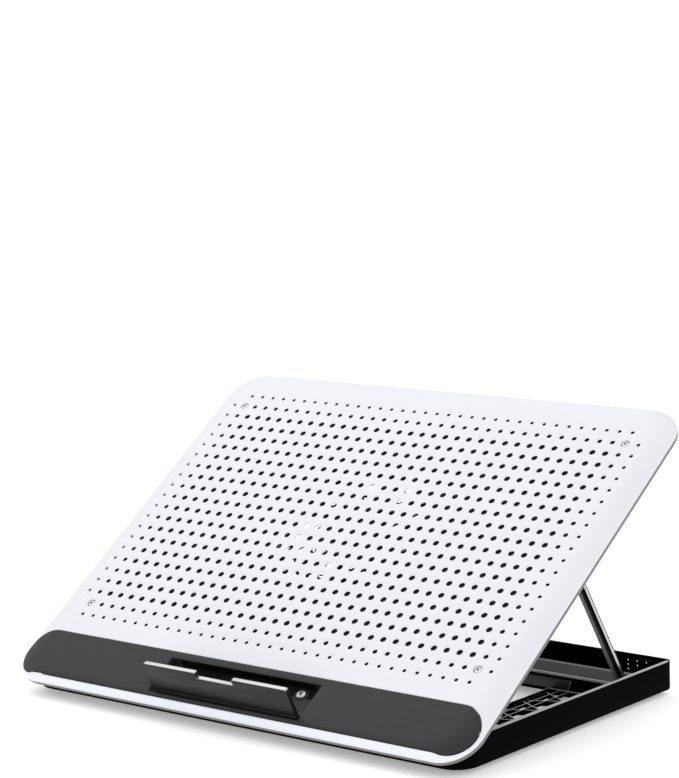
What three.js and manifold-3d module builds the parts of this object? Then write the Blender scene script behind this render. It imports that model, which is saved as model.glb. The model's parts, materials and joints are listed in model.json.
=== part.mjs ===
// Laptop cooling pad: a perforated panel that tilts on a tray-shaped base, held up by a
// U-shaped bail, with a slim fan, its drive board and a flip-up laptop stop.
// Millimetres, +Z up, front towards -Y. The pad stands on its four rubber feet.

import * as THREE from "three";
import { mergeVertices } from "three/addons/utils/BufferGeometryUtils.js";
import Module from "manifold-3d";

const wasm = await Module();
wasm.setup();

// ---------------------------------------------------------------- driving dimensions

const GAP = 0.3; // clearance between neighbouring pieces
const CUT = 2; // how far a cutting tool runs past the face it cuts
const SUNK = 0.5; // how far a piece that stands on another goes into it before they are joined

// Panel, in its own frame: x across, y back from the front edge, z out of the top face.
const PANEL_WIDTH = 386;
const PANEL_LENGTH = 305;
const PANEL_TILT = 34.8; // degrees, working position
const PANEL_EDGE_HEIGHT = 16; // top face at the front edge, above the table
const PLAN_RADIUS = 24;
const SIDE_ROLL_WIDTH = 18;
const SIDE_ROLL_DEPTH = 7;
const END_ROLL = 6;
const SHEET = 0.8;
const SKIRT_DEPTH = 6.5;
const RIM_TOP = 6.9;
const RIM_DEPTH = 9.5;
const RIM_WIDTH = 4;
const LINER_TOP = 1.5;
const LINER_DEPTH = 2.7;
const LINER_HALF_WIDTH = 177;
const LINER_FRONT = 6;
const LINER_REAR = 296;
const SCREW_X = 165;
const SCREW_Y = [68.6, 268.6];

// Dark strip along the panel's front, with a pocket for the laptop stop.
const STRIP_HALF_WIDTH = 191;
const STRIP_FRONT = 3.5;
const STRIP_REAR = 40.9;
const STRIP_THICKNESS = 1.2;
const POCKET_HALF_WIDTH = 64;
const POCKET_FRONT = 6;
const POCKET_REAR = 35.5;
const POCKET_DEPTH = 6;
const POCKET_WALL = 1.3;
const STOP_HALF_WIDTH = 61;
const STOP_HEIGHT = 23.9;
const STOP_THICKNESS = 3;
const STOP_PIVOT_Y = 9;
const STOP_PIVOT_DEPTH = 3.1;
const STOP_LEAN = 10; // degrees back from square
const STOP_BARREL_R = 2.4;
const STOP_NOTCH_HALF_WIDTH = 15.5;
const STOP_NOTCH_DEPTH = 4.3;
const STOP_SCREW_X = 47.7;
const STOP_SCREW_Y = 30;

// Base tray.
const BASE_HALF_WIDTH = 183;
const BASE_FRONT = 15;
const BASE_REAR = 246;
const BASE_BOTTOM = 3;
const FLOOR_TOP = 5;
const WALL_TOP = 23;
const WALL = 2.5;
const FRONT_WALL_TOP = 9.5;
const FRONT_SLOPE_END = 29;
const BASE_FRONT_RADIUS = 16;
const BASE_REAR_RADIUS = 5;
const FLOOR_OPENING_HALF_WIDTH = 122;
const FLOOR_OPENING_FRONT = 45;
const FLOOR_OPENING_REAR = 197;
const FOOT_RADIUS = 9;
const FOOT_X = 150;
const FOOT_Y = [34, 226];

// Panel hinge, near the front of the base.
const HINGE_Y = 26.6; // panel frame
const HINGE_DEPTH = 13;
const HINGE_PIN_R = 1.9;
const HINGE_BORE_R = 2.25;
const HINGE_BARREL_R = 4.5;
const KNUCKLE_X = [150.4, 161.6];
const EAR_WIDTH = 4;
const EAR_GAP = 0.4;

// Support bail: pivots under the panel, foot in the base's ladder.
const BAIL_X = 169.5;
const BAIL_PIVOT_Y = 173.7;
const BAIL_PIVOT_DEPTH = 6.5;
const BAIL_LENGTH = 119.2;
const BAIL_ANGLE = 2.7; // degrees from square with the panel, foot towards the front
const BAIL_WIDTH = 7;
const BAIL_THICKNESS = 4;
const BAIL_BAR_R = 2.75;
const BAIL_PIN_R = 2;
const BAIL_BORE_R = 2.35;
const LUG_THICKNESS = 7;

// Seat across the base for the bail: a ramp square to the bail, behind an upright stop bar.
const TOOTH_HEIGHT = 10;
const TOOTH_CREST = 2.2;
const STOP_BAR_REAR = 200.9;
const STOP_BAR_THICKNESS = 2.9;

// Cover under the panel, with the fan and controls inside.
const COVER_HALF_WIDTH = 150;
const COVER_FRONT = 47;
const COVER_REAR = 231;
const COVER_TOP = 3.1;
const COVER_DEPTH = 15.5;
const COVER_WALL = 1.8;
const COVER_RADIUS = 10;
const FAN_Y = 168;
const FAN_FRAME_R = 60.5;
const FAN_BORE_R = 57.5;
const FAN_TOP = 3.5;
const FAN_DEPTH = 13.2;
const BLADE_COUNT = 9;
const BLADE_TIP_R = 56;
const HUB_R = 19;
const INTAKE_R = 55;
const GUARD_RING_R = [31, 43];
const GUARD_BAR = 2.4;
const BOARD_DEPTH = 11.6;
const BOARD_THICKNESS = 1.4;
const USB_X = [62, 82];
const WHEEL_X = 106;
const WHEEL_R = 9;
const BUTTON_X = 128;

// ---------------------------------------------------------------- materials

function paint(color, roughness, metalness) {
  return new THREE.MeshStandardMaterial({ color, roughness, metalness });
}

const WHITE_SHEET = paint(0xe9ebf2, 0.35, 0.1);
const GREY_RIM = paint(0xa9abb0, 0.4, 0.2);
const DARK_STRIP = paint(0x3e3f42, 0.45, 0.3);
const BLACK_PLASTIC = paint(0x0b0c0d, 0.5, 0);
const BLACK_STEEL = paint(0x141516, 0.25, 0.8);
const BRIGHT_STEEL = paint(0xc8c8c8, 0.25, 1);
const RUBBER = paint(0x18181a, 0.9, 0);
const COPPER = paint(0xa05a2c, 0.4, 0.9);
const BOARD_GREEN = paint(0x1f5a34, 0.6, 0);
const MAGNET_GREY = paint(0x3a3a3d, 0.6, 0.5);
const RED_LEAD = paint(0x7a1513, 0.5, 0);

// ---------------------------------------------------------------- solids

const radians = THREE.MathUtils.degToRad;

function solid(geometry) {
  const bare = geometry.clone();
  bare.deleteAttribute("normal");
  bare.deleteAttribute("uv");
  const merged = mergeVertices(bare, 1e-4);
  const mesh = new wasm.Mesh({
    numProp: 3,
    vertProperties: new Float32Array(merged.attributes.position.array),
    triVerts: new Uint32Array(merged.index.array),
  });
  return new wasm.Manifold(mesh);
}

function toGeometry(body) {
  const mesh = body.getMesh();
  const geometry = new THREE.BufferGeometry();
  geometry.setAttribute("position", new THREE.BufferAttribute(new Float32Array(mesh.vertProperties), 3));
  geometry.setIndex(new THREE.BufferAttribute(new Uint32Array(mesh.triVerts), 1));
  geometry.computeVertexNormals();
  return geometry;
}

function joined(first, ...others) {
  return others.reduce((body, other) => body.add(other), first);
}

function trimmed(first, ...tools) {
  return tools.reduce((body, tool) => body.subtract(tool), first);
}

// A box from its lowest and highest corners.
function block(low, high) {
  const size = high.map((value, axis) => value - low[axis]);
  const centre = high.map((value, axis) => (value + low[axis]) / 2);
  return solid(new THREE.BoxGeometry(...size).translate(...centre));
}

// A cylinder between two heights, its axis along Z through (x, y).
function post(x, y, radius, low, high, sides = 24) {
  const geometry = new THREE.CylinderGeometry(radius, radius, high - low, sides);
  return solid(geometry.rotateX(Math.PI / 2).translate(x, y, (low + high) / 2));
}

// A cylinder between two x values, its axis through (y, z).
function rod(y, z, radius, low, high, sides = 20) {
  const geometry = new THREE.CylinderGeometry(radius, radius, high - low, sides);
  return solid(geometry.rotateZ(Math.PI / 2).translate((low + high) / 2, y, z));
}

// A ring about the Z axis through (x, y), between two radii and two heights.
function ring(x, y, inner, outer, low, high, sides = 40) {
  const corners = [[inner, low], [outer, low], [outer, high], [inner, high], [inner, low]];
  const profile = corners.map(([radius, height]) => new THREE.Vector2(radius, height));
  return solid(new THREE.LatheGeometry(profile, sides).rotateX(Math.PI / 2).translate(x, y, 0));
}

function roundedRect(left, front, right, rear, radius, steps, rearRadius = radius) {
  const shape = new THREE.Shape();
  shape.absarc(right - radius, front + radius, radius, -Math.PI / 2, 0);
  shape.absarc(right - rearRadius, rear - rearRadius, rearRadius, 0, Math.PI / 2);
  shape.absarc(left + rearRadius, rear - rearRadius, rearRadius, Math.PI / 2, Math.PI);
  shape.absarc(left + radius, front + radius, radius, Math.PI, 1.5 * Math.PI);
  shape.closePath();
  return new THREE.Shape(shape.getPoints(steps));
}

// An outline in XY pushed between two heights.
function slab(shape, low, high) {
  const geometry = new THREE.ExtrudeGeometry(shape, { depth: high - low, bevelEnabled: false });
  return solid(geometry.translate(0, 0, low));
}

function roundedSlab(left, front, right, rear, radius, low, high, steps = 5) {
  return slab(roundedRect(left, front, right, rear, radius, steps), low, high);
}

// An outline given in (y, z) pushed between two x values.
function profileAlongX(points, low, high) {
  const shape = new THREE.Shape(points.map(([y, z]) => new THREE.Vector2(y, z)));
  const geometry = new THREE.ExtrudeGeometry(shape, { depth: high - low, bevelEnabled: false });
  geometry.rotateX(Math.PI / 2).rotateZ(Math.PI / 2);
  return solid(geometry.translate(low, 0, 0));
}

function bothSides(make) {
  return [["left", -1], ["right", 1]].map(([side, sign]) => make(side, sign));
}

// A box that is mirrored to the left when sign is -1.
function sidedBlock(sign, innerX, outerX, lowY, highY, lowZ, highZ) {
  const [low, high] = sign > 0 ? [innerX, outerX] : [-outerX, -innerX];
  return block([low, lowY, lowZ], [high, highY, highZ]);
}

function sidedRod(sign, innerX, outerX, y, z, radius, sides) {
  const [low, high] = sign > 0 ? [innerX, outerX] : [-outerX, -innerX];
  return rod(y, z, radius, low, high, sides);
}

const pad = new THREE.Group();
const panel = new THREE.Group();
const stop = new THREE.Group();
const bail = new THREE.Group();

function place(group, name, body, material) {
  const mesh = new THREE.Mesh(toGeometry(body), material);
  mesh.name = name;
  group.add(mesh);
}

// ---------------------------------------------------------------- places worked out

// A point of the panel frame (y, z) in the base's frame.
function panelToBase(y, z) {
  const tilt = radians(PANEL_TILT);
  return [
    y * Math.cos(tilt) - z * Math.sin(tilt),
    y * Math.sin(tilt) + z * Math.cos(tilt) + PANEL_EDGE_HEIGHT,
  ];
}

const [hingeY, hingeZ] = panelToBase(HINGE_Y, -HINGE_DEPTH);
const [bailY, bailZ] = panelToBase(BAIL_PIVOT_Y, -BAIL_PIVOT_DEPTH);
const bailSlope = radians(90 - PANEL_TILT + BAIL_ANGLE); // below the horizontal
const footY = bailY + BAIL_LENGTH * Math.cos(bailSlope);
const footZ = bailZ - BAIL_LENGTH * Math.sin(bailSlope);

// ---------------------------------------------------------------- panel

// The panel's outer block down to z = low, every face moved in by inset: rolled sides,
// smaller rolls at the front and rear, rounded corners in plan.
function panelBlock(inset, low) {
  const half = PANEL_WIDTH / 2 - inset;
  const flat = PANEL_WIDTH / 2 - SIDE_ROLL_WIDTH;
  const under = -RIM_DEPTH - 2 * CUT;
  const section = new THREE.Shape();
  section.moveTo(half, under);
  section.absellipse(flat, -SIDE_ROLL_DEPTH, half - flat, SIDE_ROLL_DEPTH - inset, 0, Math.PI / 2);
  section.absellipse(-flat, -SIDE_ROLL_DEPTH, half - flat, SIDE_ROLL_DEPTH - inset, Math.PI / 2, Math.PI);
  section.lineTo(-half, under);
  const length = PANEL_LENGTH - 2 * inset;
  const sectionShape = new THREE.Shape(section.getPoints(5));
  const across = new THREE.ExtrudeGeometry(sectionShape, { depth: length, bevelEnabled: false });
  across.rotateX(Math.PI / 2).translate(0, PANEL_LENGTH - inset, 0);
  const roll = END_ROLL - inset;
  const plan = roundedRect(
    -half + roll,
    inset + roll,
    half - roll,
    PANEL_LENGTH - inset - roll,
    PLAN_RADIUS - END_ROLL,
    5,
  );
  const above = new THREE.ExtrudeGeometry(plan, {
    depth: -under,
    bevelThickness: roll,
    bevelSize: roll,
    bevelSegments: 3,
  });
  above.translate(0, 0, under - END_ROLL);
  const floor = block([-half - CUT, -CUT, 3 * under], [half + CUT, PANEL_LENGTH + CUT, low]);
  return trimmed(solid(across).intersect(solid(above)), floor);
}

function stripOutline(outset) {
  const radius = (STRIP_REAR - STRIP_FRONT) / 2 + outset;
  return roundedRect(
    -STRIP_HALF_WIDTH - outset,
    STRIP_FRONT - outset,
    STRIP_HALF_WIDTH + outset,
    STRIP_REAR + outset,
    radius - 0.01,
    6,
  );
}

function buildPanel() {
  const screwHoles = (radius) =>
    [-SCREW_X, SCREW_X].flatMap((x) => SCREW_Y.map((y) => post(x, y, radius, -CUT - LINER_DEPTH, CUT, 12)));

  const sheet = trimmed(
    panelBlock(0, -SKIRT_DEPTH),
    panelBlock(SHEET, -SKIRT_DEPTH - CUT),
    slab(stripOutline(GAP), -SKIRT_DEPTH - CUT, CUT),
    ...screwHoles(2.8),
  );
  place(panel, "top_panel", sheet, WHITE_SHEET);

  const half = PANEL_WIDTH / 2 - GAP;
  const rim = trimmed(
    roundedSlab(-half, GAP, half, PANEL_LENGTH - GAP, PLAN_RADIUS, -RIM_DEPTH, -RIM_TOP),
    roundedSlab(
      -half + RIM_WIDTH,
      GAP + RIM_WIDTH,
      half - RIM_WIDTH,
      PANEL_LENGTH - GAP - RIM_WIDTH,
      PLAN_RADIUS - RIM_WIDTH,
      -RIM_DEPTH - CUT,
      -RIM_TOP + CUT,
    ),
  );
  place(panel, "under_rim", rim, GREY_RIM);

  const liner = trimmed(
    roundedSlab(-LINER_HALF_WIDTH, LINER_FRONT, LINER_HALF_WIDTH, LINER_REAR, 12, -LINER_DEPTH, -LINER_TOP),
    ring(0, FAN_Y, HUB_R, INTAKE_R, -LINER_DEPTH - CUT, CUT),
    block([-POCKET_HALF_WIDTH - 3, 0, -LINER_DEPTH - CUT], [POCKET_HALF_WIDTH + 3, POCKET_REAR + 3, CUT]),
    ...screwHoles(1.7),
  );
  place(panel, "inner_frame", joined(liner, ...guardBars(-LINER_DEPTH, -LINER_TOP)), BLACK_PLASTIC);

  bothSides((side, sign) =>
    SCREW_Y.forEach((y, row) => {
      const head = post(sign * SCREW_X, y, 2.5, -SHEET + 0.2, 0.2, 16);
      const shank = post(sign * SCREW_X, y, 1.3, -LINER_DEPTH, 0, 12);
      place(panel, `panel_screw_${["front", "rear"][row]}_${side}`, joined(head, shank), WHITE_SHEET);
    }),
  );
}

// Spokes and two rings across the fan opening.
function guardBars(low, high) {
  const rings = GUARD_RING_R.map((radius) =>
    ring(0, FAN_Y, radius - GUARD_BAR / 2, radius + GUARD_BAR / 2, low, high, 32),
  );
  const spokes = Array.from({ length: 6 }, (_, index) => {
    const length = INTAKE_R - HUB_R + 3;
    const spoke = new THREE.BoxGeometry(length, GUARD_BAR, high - low);
    spoke.translate(HUB_R - 1.5 + length / 2, 0, (low + high) / 2);
    return solid(spoke.rotateZ((index * Math.PI) / 3 + Math.PI / 6).translate(0, FAN_Y, 0));
  });
  return [...rings, ...spokes];
}

function buildStrip() {
  const skin = trimmed(
    panelBlock(0, -SKIRT_DEPTH + 1).intersect(slab(stripOutline(0), -SKIRT_DEPTH, CUT)),
    panelBlock(STRIP_THICKNESS, -SKIRT_DEPTH - CUT),
  );
  const pocket = block(
    [-POCKET_HALF_WIDTH - POCKET_WALL, POCKET_FRONT - POCKET_WALL, -POCKET_DEPTH - POCKET_WALL],
    [POCKET_HALF_WIDTH + POCKET_WALL, POCKET_REAR + POCKET_WALL, -STRIP_THICKNESS / 2],
  );
  const hollow = block(
    [-POCKET_HALF_WIDTH, POCKET_FRONT, -POCKET_DEPTH],
    [POCKET_HALF_WIDTH, POCKET_REAR, CUT],
  );
  const boreEnd = POCKET_HALF_WIDTH + POCKET_WALL + CUT;
  const pinBore = rod(STOP_PIVOT_Y, -STOP_PIVOT_DEPTH, 1.2, -boreEnd, boreEnd, 12);
  const screwHoles = [-STOP_SCREW_X, STOP_SCREW_X].map((x) =>
    post(x, STOP_SCREW_Y, 1.5, -POCKET_DEPTH - CUT, 0, 12),
  );
  place(panel, "front_strip", trimmed(joined(skin, pocket), hollow, pinBore, ...screwHoles), DARK_STRIP);

  bothSides((side, sign) => {
    const x = sign * STOP_SCREW_X;
    const head = post(x, STOP_SCREW_Y, 3, -POCKET_DEPTH + GAP, -POCKET_DEPTH + 1.2, 16);
    const shank = post(x, STOP_SCREW_Y, 1.2, -POCKET_DEPTH - POCKET_WALL - 0.5, -POCKET_DEPTH + 1, 12);
    place(panel, `stop_screw_${side}`, joined(head, shank), BRIGHT_STEEL);
  });

  const pin = rod(STOP_PIVOT_Y, -STOP_PIVOT_DEPTH, 0.9, -POCKET_HALF_WIDTH - 1, POCKET_HALF_WIDTH + 1, 12);
  place(panel, "stop_pin", pin, BRIGHT_STEEL);
}

function buildStop() {
  const halfThickness = STOP_THICKNESS / 2;
  const plate = block([-STOP_HALF_WIDTH, -halfThickness, 0], [STOP_HALF_WIDTH, halfThickness, STOP_HEIGHT]);
  const notch = block(
    [-STOP_NOTCH_HALF_WIDTH, -CUT, STOP_HEIGHT - STOP_NOTCH_DEPTH],
    [STOP_NOTCH_HALF_WIDTH, CUT, STOP_HEIGHT + CUT],
  );
  const barrel = rod(0, 0, STOP_BARREL_R, -STOP_HALF_WIDTH, STOP_HALF_WIDTH, 16);
  const bore = rod(0, 0, 1.25, -STOP_HALF_WIDTH - CUT, STOP_HALF_WIDTH + CUT, 12);
  place(stop, "laptop_stop", trimmed(joined(plate, barrel), notch, bore), DARK_STRIP);
  stop.position.set(0, STOP_PIVOT_Y, -STOP_PIVOT_DEPTH);
  stop.rotation.x = radians(-STOP_LEAN);
  panel.add(stop);
}

// ---------------------------------------------------------------- hinge and bail mounts

function buildPanelBrackets() {
  bothSides((side, sign) => {
    const [inner, outer] = KNUCKLE_X;
    const topZ = -LINER_DEPTH - GAP;
    const flange = sidedBlock(sign, inner - 8, outer + 8, HINGE_Y - 4.5, HINGE_Y + 19, topZ - 1.5, topZ);
    const web = sidedBlock(sign, inner, outer, HINGE_Y - 4.5, HINGE_Y + 4.5, -HINGE_DEPTH, topZ);
    const barrel = sidedRod(sign, inner, outer, HINGE_Y, -HINGE_DEPTH, HINGE_BARREL_R);
    const bore = sidedRod(sign, inner - CUT, outer + CUT, HINGE_Y, -HINGE_DEPTH, HINGE_BORE_R, 16);
    place(panel, `panel_hinge_${side}`, trimmed(joined(flange, web, barrel), bore), BLACK_STEEL);

    const outerX = BAIL_X - BAIL_THICKNESS / 2 - 0.5;
    const innerX = outerX - LUG_THICKNESS;
    const [frontY, rearY] = [BAIL_PIVOT_Y - 9, BAIL_PIVOT_Y + 9];
    const pivotZ = -BAIL_PIVOT_DEPTH;
    const lug = sidedBlock(sign, innerX, outerX, frontY, rearY, pivotZ - 4, topZ);
    const lugBore = sidedRod(sign, innerX - CUT, outerX + CUT, BAIL_PIVOT_Y, pivotZ, BAIL_BORE_R, 16);
    place(panel, `bail_bracket_${side}`, trimmed(lug, lugBore), BLACK_PLASTIC);
  });
}

// The bail hangs along -z from its pivot.
function buildBail() {
  const halfWidth = BAIL_WIDTH / 2;
  const innerX = BAIL_X - BAIL_THICKNESS / 2;
  const outerX = BAIL_X + BAIL_THICKNESS / 2;
  const legs = bothSides((side, sign) =>
    trimmed(
      joined(
        sidedBlock(sign, innerX, outerX, -halfWidth, halfWidth, -BAIL_LENGTH, 0),
        sidedRod(sign, innerX, outerX, 0, 0, halfWidth, 16),
        sidedRod(sign, innerX, outerX, 0, -BAIL_LENGTH, halfWidth, 16),
      ),
      sidedRod(sign, innerX - CUT, outerX + CUT, 0, 0, BAIL_BORE_R, 16),
    ),
  );
  const bar = rod(0, -BAIL_LENGTH, BAIL_BAR_R, -BAIL_X, BAIL_X, 16);
  place(bail, "support_bail", joined(bar, ...legs), BLACK_STEEL);
  bothSides((side, sign) => {
    const shank = sidedRod(sign, innerX - 7, outerX + 1, 0, 0, BAIL_PIN_R, 16);
    const head = sidedRod(sign, outerX + GAP, outerX + 1.6, 0, 0, 3.2, 16);
    place(bail, `bail_pin_${side}`, joined(shank, head), BRIGHT_STEEL);
  });
  bail.position.set(0, BAIL_PIVOT_Y, -BAIL_PIVOT_DEPTH);
  bail.rotation.x = radians(-BAIL_ANGLE);
  panel.add(bail);
}

// ---------------------------------------------------------------- cover, fan and controls

const coverScrews = [-140, 140].flatMap((x) => [COVER_FRONT + 10, COVER_REAR - 10].map((y) => [x, y]));

function buildCover() {
  const half = COVER_HALF_WIDTH;
  const outer = roundedSlab(-half, COVER_FRONT, half, COVER_REAR, COVER_RADIUS, -COVER_DEPTH, -COVER_TOP);
  const inner = roundedSlab(
    -half + COVER_WALL,
    COVER_FRONT + COVER_WALL,
    half - COVER_WALL,
    COVER_REAR - COVER_WALL,
    COVER_RADIUS - COVER_WALL,
    -COVER_DEPTH + COVER_WALL,
    CUT,
  );
  const windows = [
    ...USB_X.map((x) => block([x - 7, COVER_REAR - CUT * 2, -BOARD_DEPTH], [x + 7, COVER_REAR + CUT, -4.6])),
    block([WHEEL_X - 9, COVER_REAR - CUT * 2, -10], [WHEEL_X + 9, COVER_REAR + CUT, -5.6]),
    block([BUTTON_X - 3.4, COVER_REAR - CUT * 2, -10], [BUTTON_X + 3.4, COVER_REAR + CUT, -6]),
  ];
  const intake = ring(0, FAN_Y, HUB_R + 3, INTAKE_R, -COVER_DEPTH - CUT, -COVER_DEPTH + COVER_WALL + CUT);
  const shell = trimmed(outer, inner, intake, ...windows);
  const bars = guardBars(-COVER_DEPTH, -COVER_DEPTH + COVER_WALL);
  const bosses = coverScrews.map(([x, y]) => post(x, y, 4, -COVER_DEPTH, -COVER_TOP, 16));
  const bores = coverScrews.map(([x, y]) => post(x, y, 1.7, -COVER_DEPTH - CUT, CUT, 12));
  place(panel, "lower_cover", trimmed(joined(shell, ...bars, ...bosses), ...bores), BLACK_PLASTIC);
  coverScrews.forEach(([x, y], index) => {
    const head = post(x, y, 3, -COVER_DEPTH - 1.6, -COVER_DEPTH - GAP, 16);
    const shank = post(x, y, 1.3, -COVER_DEPTH - 1, -COVER_TOP - 1, 12);
    place(panel, `cover_screw_${index + 1}`, joined(head, shank), BRIGHT_STEEL);
  });
}

const fanScrews = [30, 150, 210, 330].map((degrees) => {
  const reach = FAN_FRAME_R + 3.5;
  return [reach * Math.cos(radians(degrees)), FAN_Y + reach * Math.sin(radians(degrees))];
});

function buildFan() {
  const base = -FAN_DEPTH;
  const struts = Array.from({ length: 4 }, (_, index) => {
    const length = FAN_FRAME_R - 16;
    const bar = new THREE.BoxGeometry(length, 5, 1.4).translate(15 + length / 2, 0, base + 0.7);
    return solid(bar.rotateZ(Math.PI / 4 + (index * Math.PI) / 2).translate(0, FAN_Y, 0));
  });
  const frame = trimmed(
    joined(
      ring(0, FAN_Y, FAN_BORE_R, FAN_FRAME_R, base, -FAN_TOP, 48),
      post(0, FAN_Y, HUB_R, base, base + 1.4, 32),
      ...struts,
      ...fanScrews.map(([x, y]) => post(x, y, 4.5, base, base + 2.5, 16)),
    ),
    post(0, FAN_Y, 4.3, base - CUT, base + CUT, 20),
    ...fanScrews.map(([x, y]) => post(x, y, 1.7, base - CUT, base + 2 * CUT, 12)),
  );
  fanScrews.forEach(([x, y], index) => {
    const head = post(x, y, 2.8, base + 2.5 + GAP, base + 4.2, 16);
    const shank = post(x, y, 1.3, base, base + 4, 12);
    place(panel, `fan_screw_${index + 1}`, joined(head, shank), BRIGHT_STEEL);
  });
  place(panel, "fan_frame", frame, BLACK_PLASTIC);
  place(panel, "bearing_sleeve", ring(0, FAN_Y, 1.9, 4, base, -6.6, 20), BRIGHT_STEEL);
  place(panel, "motor_board", ring(0, FAN_Y, 4.6, 15, base + 1.7, base + 2.6, 24), BOARD_GREEN);

  const poles = Array.from({ length: 6 }, (_, index) => {
    const arm = new THREE.BoxGeometry(9, 4.5, 2.6).translate(9.5, 0, -8.5);
    return solid(arm.rotateZ((index * Math.PI) / 3).translate(0, FAN_Y, 0));
  });
  place(panel, "stator", joined(ring(0, FAN_Y, 4.4, 7, -10.2, -6.8, 20), ...poles), COPPER);

  const blades = Array.from({ length: BLADE_COUNT }, (_, index) => {
    const length = BLADE_TIP_R - HUB_R + 1.5;
    const blade = new THREE.BoxGeometry(length, 15, 1.2).rotateX(radians(26));
    blade.translate(HUB_R - 1.5 + length / 2, 0, -7.5);
    return solid(blade.rotateZ((index * 2 * Math.PI) / BLADE_COUNT).translate(0, FAN_Y, 0));
  });
  const tip = post(0, FAN_Y, BLADE_TIP_R, -FAN_DEPTH, 0, 48);
  const hubHollow = post(0, FAN_Y, HUB_R - 1.5, -FAN_DEPTH, -4.8, 32);
  const hub = post(0, FAN_Y, HUB_R, -11, -3.6, 32);
  const rotor = trimmed(joined(joined(...blades).intersect(tip), hub), hubHollow);
  place(panel, "impeller", rotor, BLACK_PLASTIC);
  place(panel, "magnet_ring", ring(0, FAN_Y, 15, HUB_R - 1.5 - GAP, -10.6, -5.1, 32), MAGNET_GREY);
  place(panel, "rotor_shaft", post(0, FAN_Y, 1.5, -FAN_DEPTH + 0.4, -5.1, 16), BRIGHT_STEEL);
}

function buildControls() {
  const board = block(
    [50, 210, -BOARD_DEPTH - BOARD_THICKNESS],
    [134, COVER_REAR - COVER_WALL - GAP, -BOARD_DEPTH],
  );
  place(panel, "control_board", board, BOARD_GREEN);
  USB_X.forEach((x, index) => {
    const shell = block([x - 6.7, 215, -BOARD_DEPTH + GAP], [x + 6.7, COVER_REAR, -4.9]);
    const mouth = block([x - 6, 217, -BOARD_DEPTH + GAP + 0.6], [x + 6, COVER_REAR + CUT, -5.5]);
    const tongue = block([x - 5.2, 216, -8.9], [x + 5.2, COVER_REAR - 1.5, -7]);
    place(panel, `usb_socket_${index + 1}`, joined(trimmed(shell, mouth), tongue), BRIGHT_STEEL);
  });
  const wheelY = COVER_REAR + 3 - WHEEL_R;
  const wheel = trimmed(
    post(WHEEL_X, wheelY, WHEEL_R, -9, -6.2, 36),
    post(WHEEL_X, wheelY, 1.8, -12, 0, 16),
  );
  place(panel, "speed_wheel", wheel, BLACK_PLASTIC);
  const dial = joined(
    block([WHEEL_X - 5, wheelY - 6, -BOARD_DEPTH + GAP], [WHEEL_X + 5, wheelY + 3.5, -9.3]),
    post(WHEEL_X, wheelY, 1.5, -10, -5.6, 16),
  );
  place(panel, "speed_dial", dial, MAGNET_GREY);
  const button = joined(
    block([BUTTON_X - 3, COVER_REAR - 5, -9.6], [BUTTON_X + 3, COVER_REAR + 1.6, -6.4]),
    block([BUTTON_X - 4.4, COVER_REAR - 5, -9.6], [BUTTON_X + 4.4, COVER_REAR - 3.2, -6.4]),
  );
  place(panel, "light_button", button, BLACK_PLASTIC);
  const key = block([BUTTON_X - 3, 215, -BOARD_DEPTH + GAP], [BUTTON_X + 3, COVER_REAR - 6.4, -5.4]);
  place(panel, "light_switch", key, MAGNET_GREY);

  // Two-core lead from the fan frame to the board, clipped along the cover's floor.
  const angle = radians(45);
  const start = FAN_FRAME_R + GAP;
  const route = new THREE.CatmullRomCurve3([
    new THREE.Vector3(start * Math.cos(angle), FAN_Y + start * Math.sin(angle), -8),
    new THREE.Vector3((start + 5) * Math.cos(angle), FAN_Y + (start + 5) * Math.sin(angle), -8),
    new THREE.Vector3(52.5, 213, -9),
    new THREE.Vector3(52.5, 219, -BOARD_DEPTH + 1.5),
  ]);
  const core = new THREE.Shape(new THREE.EllipseCurve(0, 0, 1, 1, 0, 2 * Math.PI).getPoints(8).slice(0, 8));
  const lead = new THREE.ExtrudeGeometry(core, { steps: 10, extrudePath: route, bevelEnabled: false });
  place(panel, "fan_lead", solid(lead), RED_LEAD);
}

// ---------------------------------------------------------------- base

const rampAngle = radians(90) - bailSlope;
const rampRun = TOOTH_HEIGHT / Math.tan(rampAngle);

// Where the seat's ramp leaves the floor, so that it passes just under the bail's foot.
const seatReach = BAIL_WIDTH / 2 + GAP - (footZ - FLOOR_TOP) * Math.cos(rampAngle);
const seatStart = footY + seatReach / Math.sin(rampAngle);

function seatProfile() {
  const crest = seatStart + rampRun;
  return [
    [seatStart - SUNK / Math.tan(rampAngle), FLOOR_TOP - SUNK],
    [crest + TOOTH_CREST, FLOOR_TOP - SUNK],
    [crest + TOOTH_CREST, FLOOR_TOP + TOOTH_HEIGHT],
    [crest, FLOOR_TOP + TOOTH_HEIGHT],
  ];
}

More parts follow.
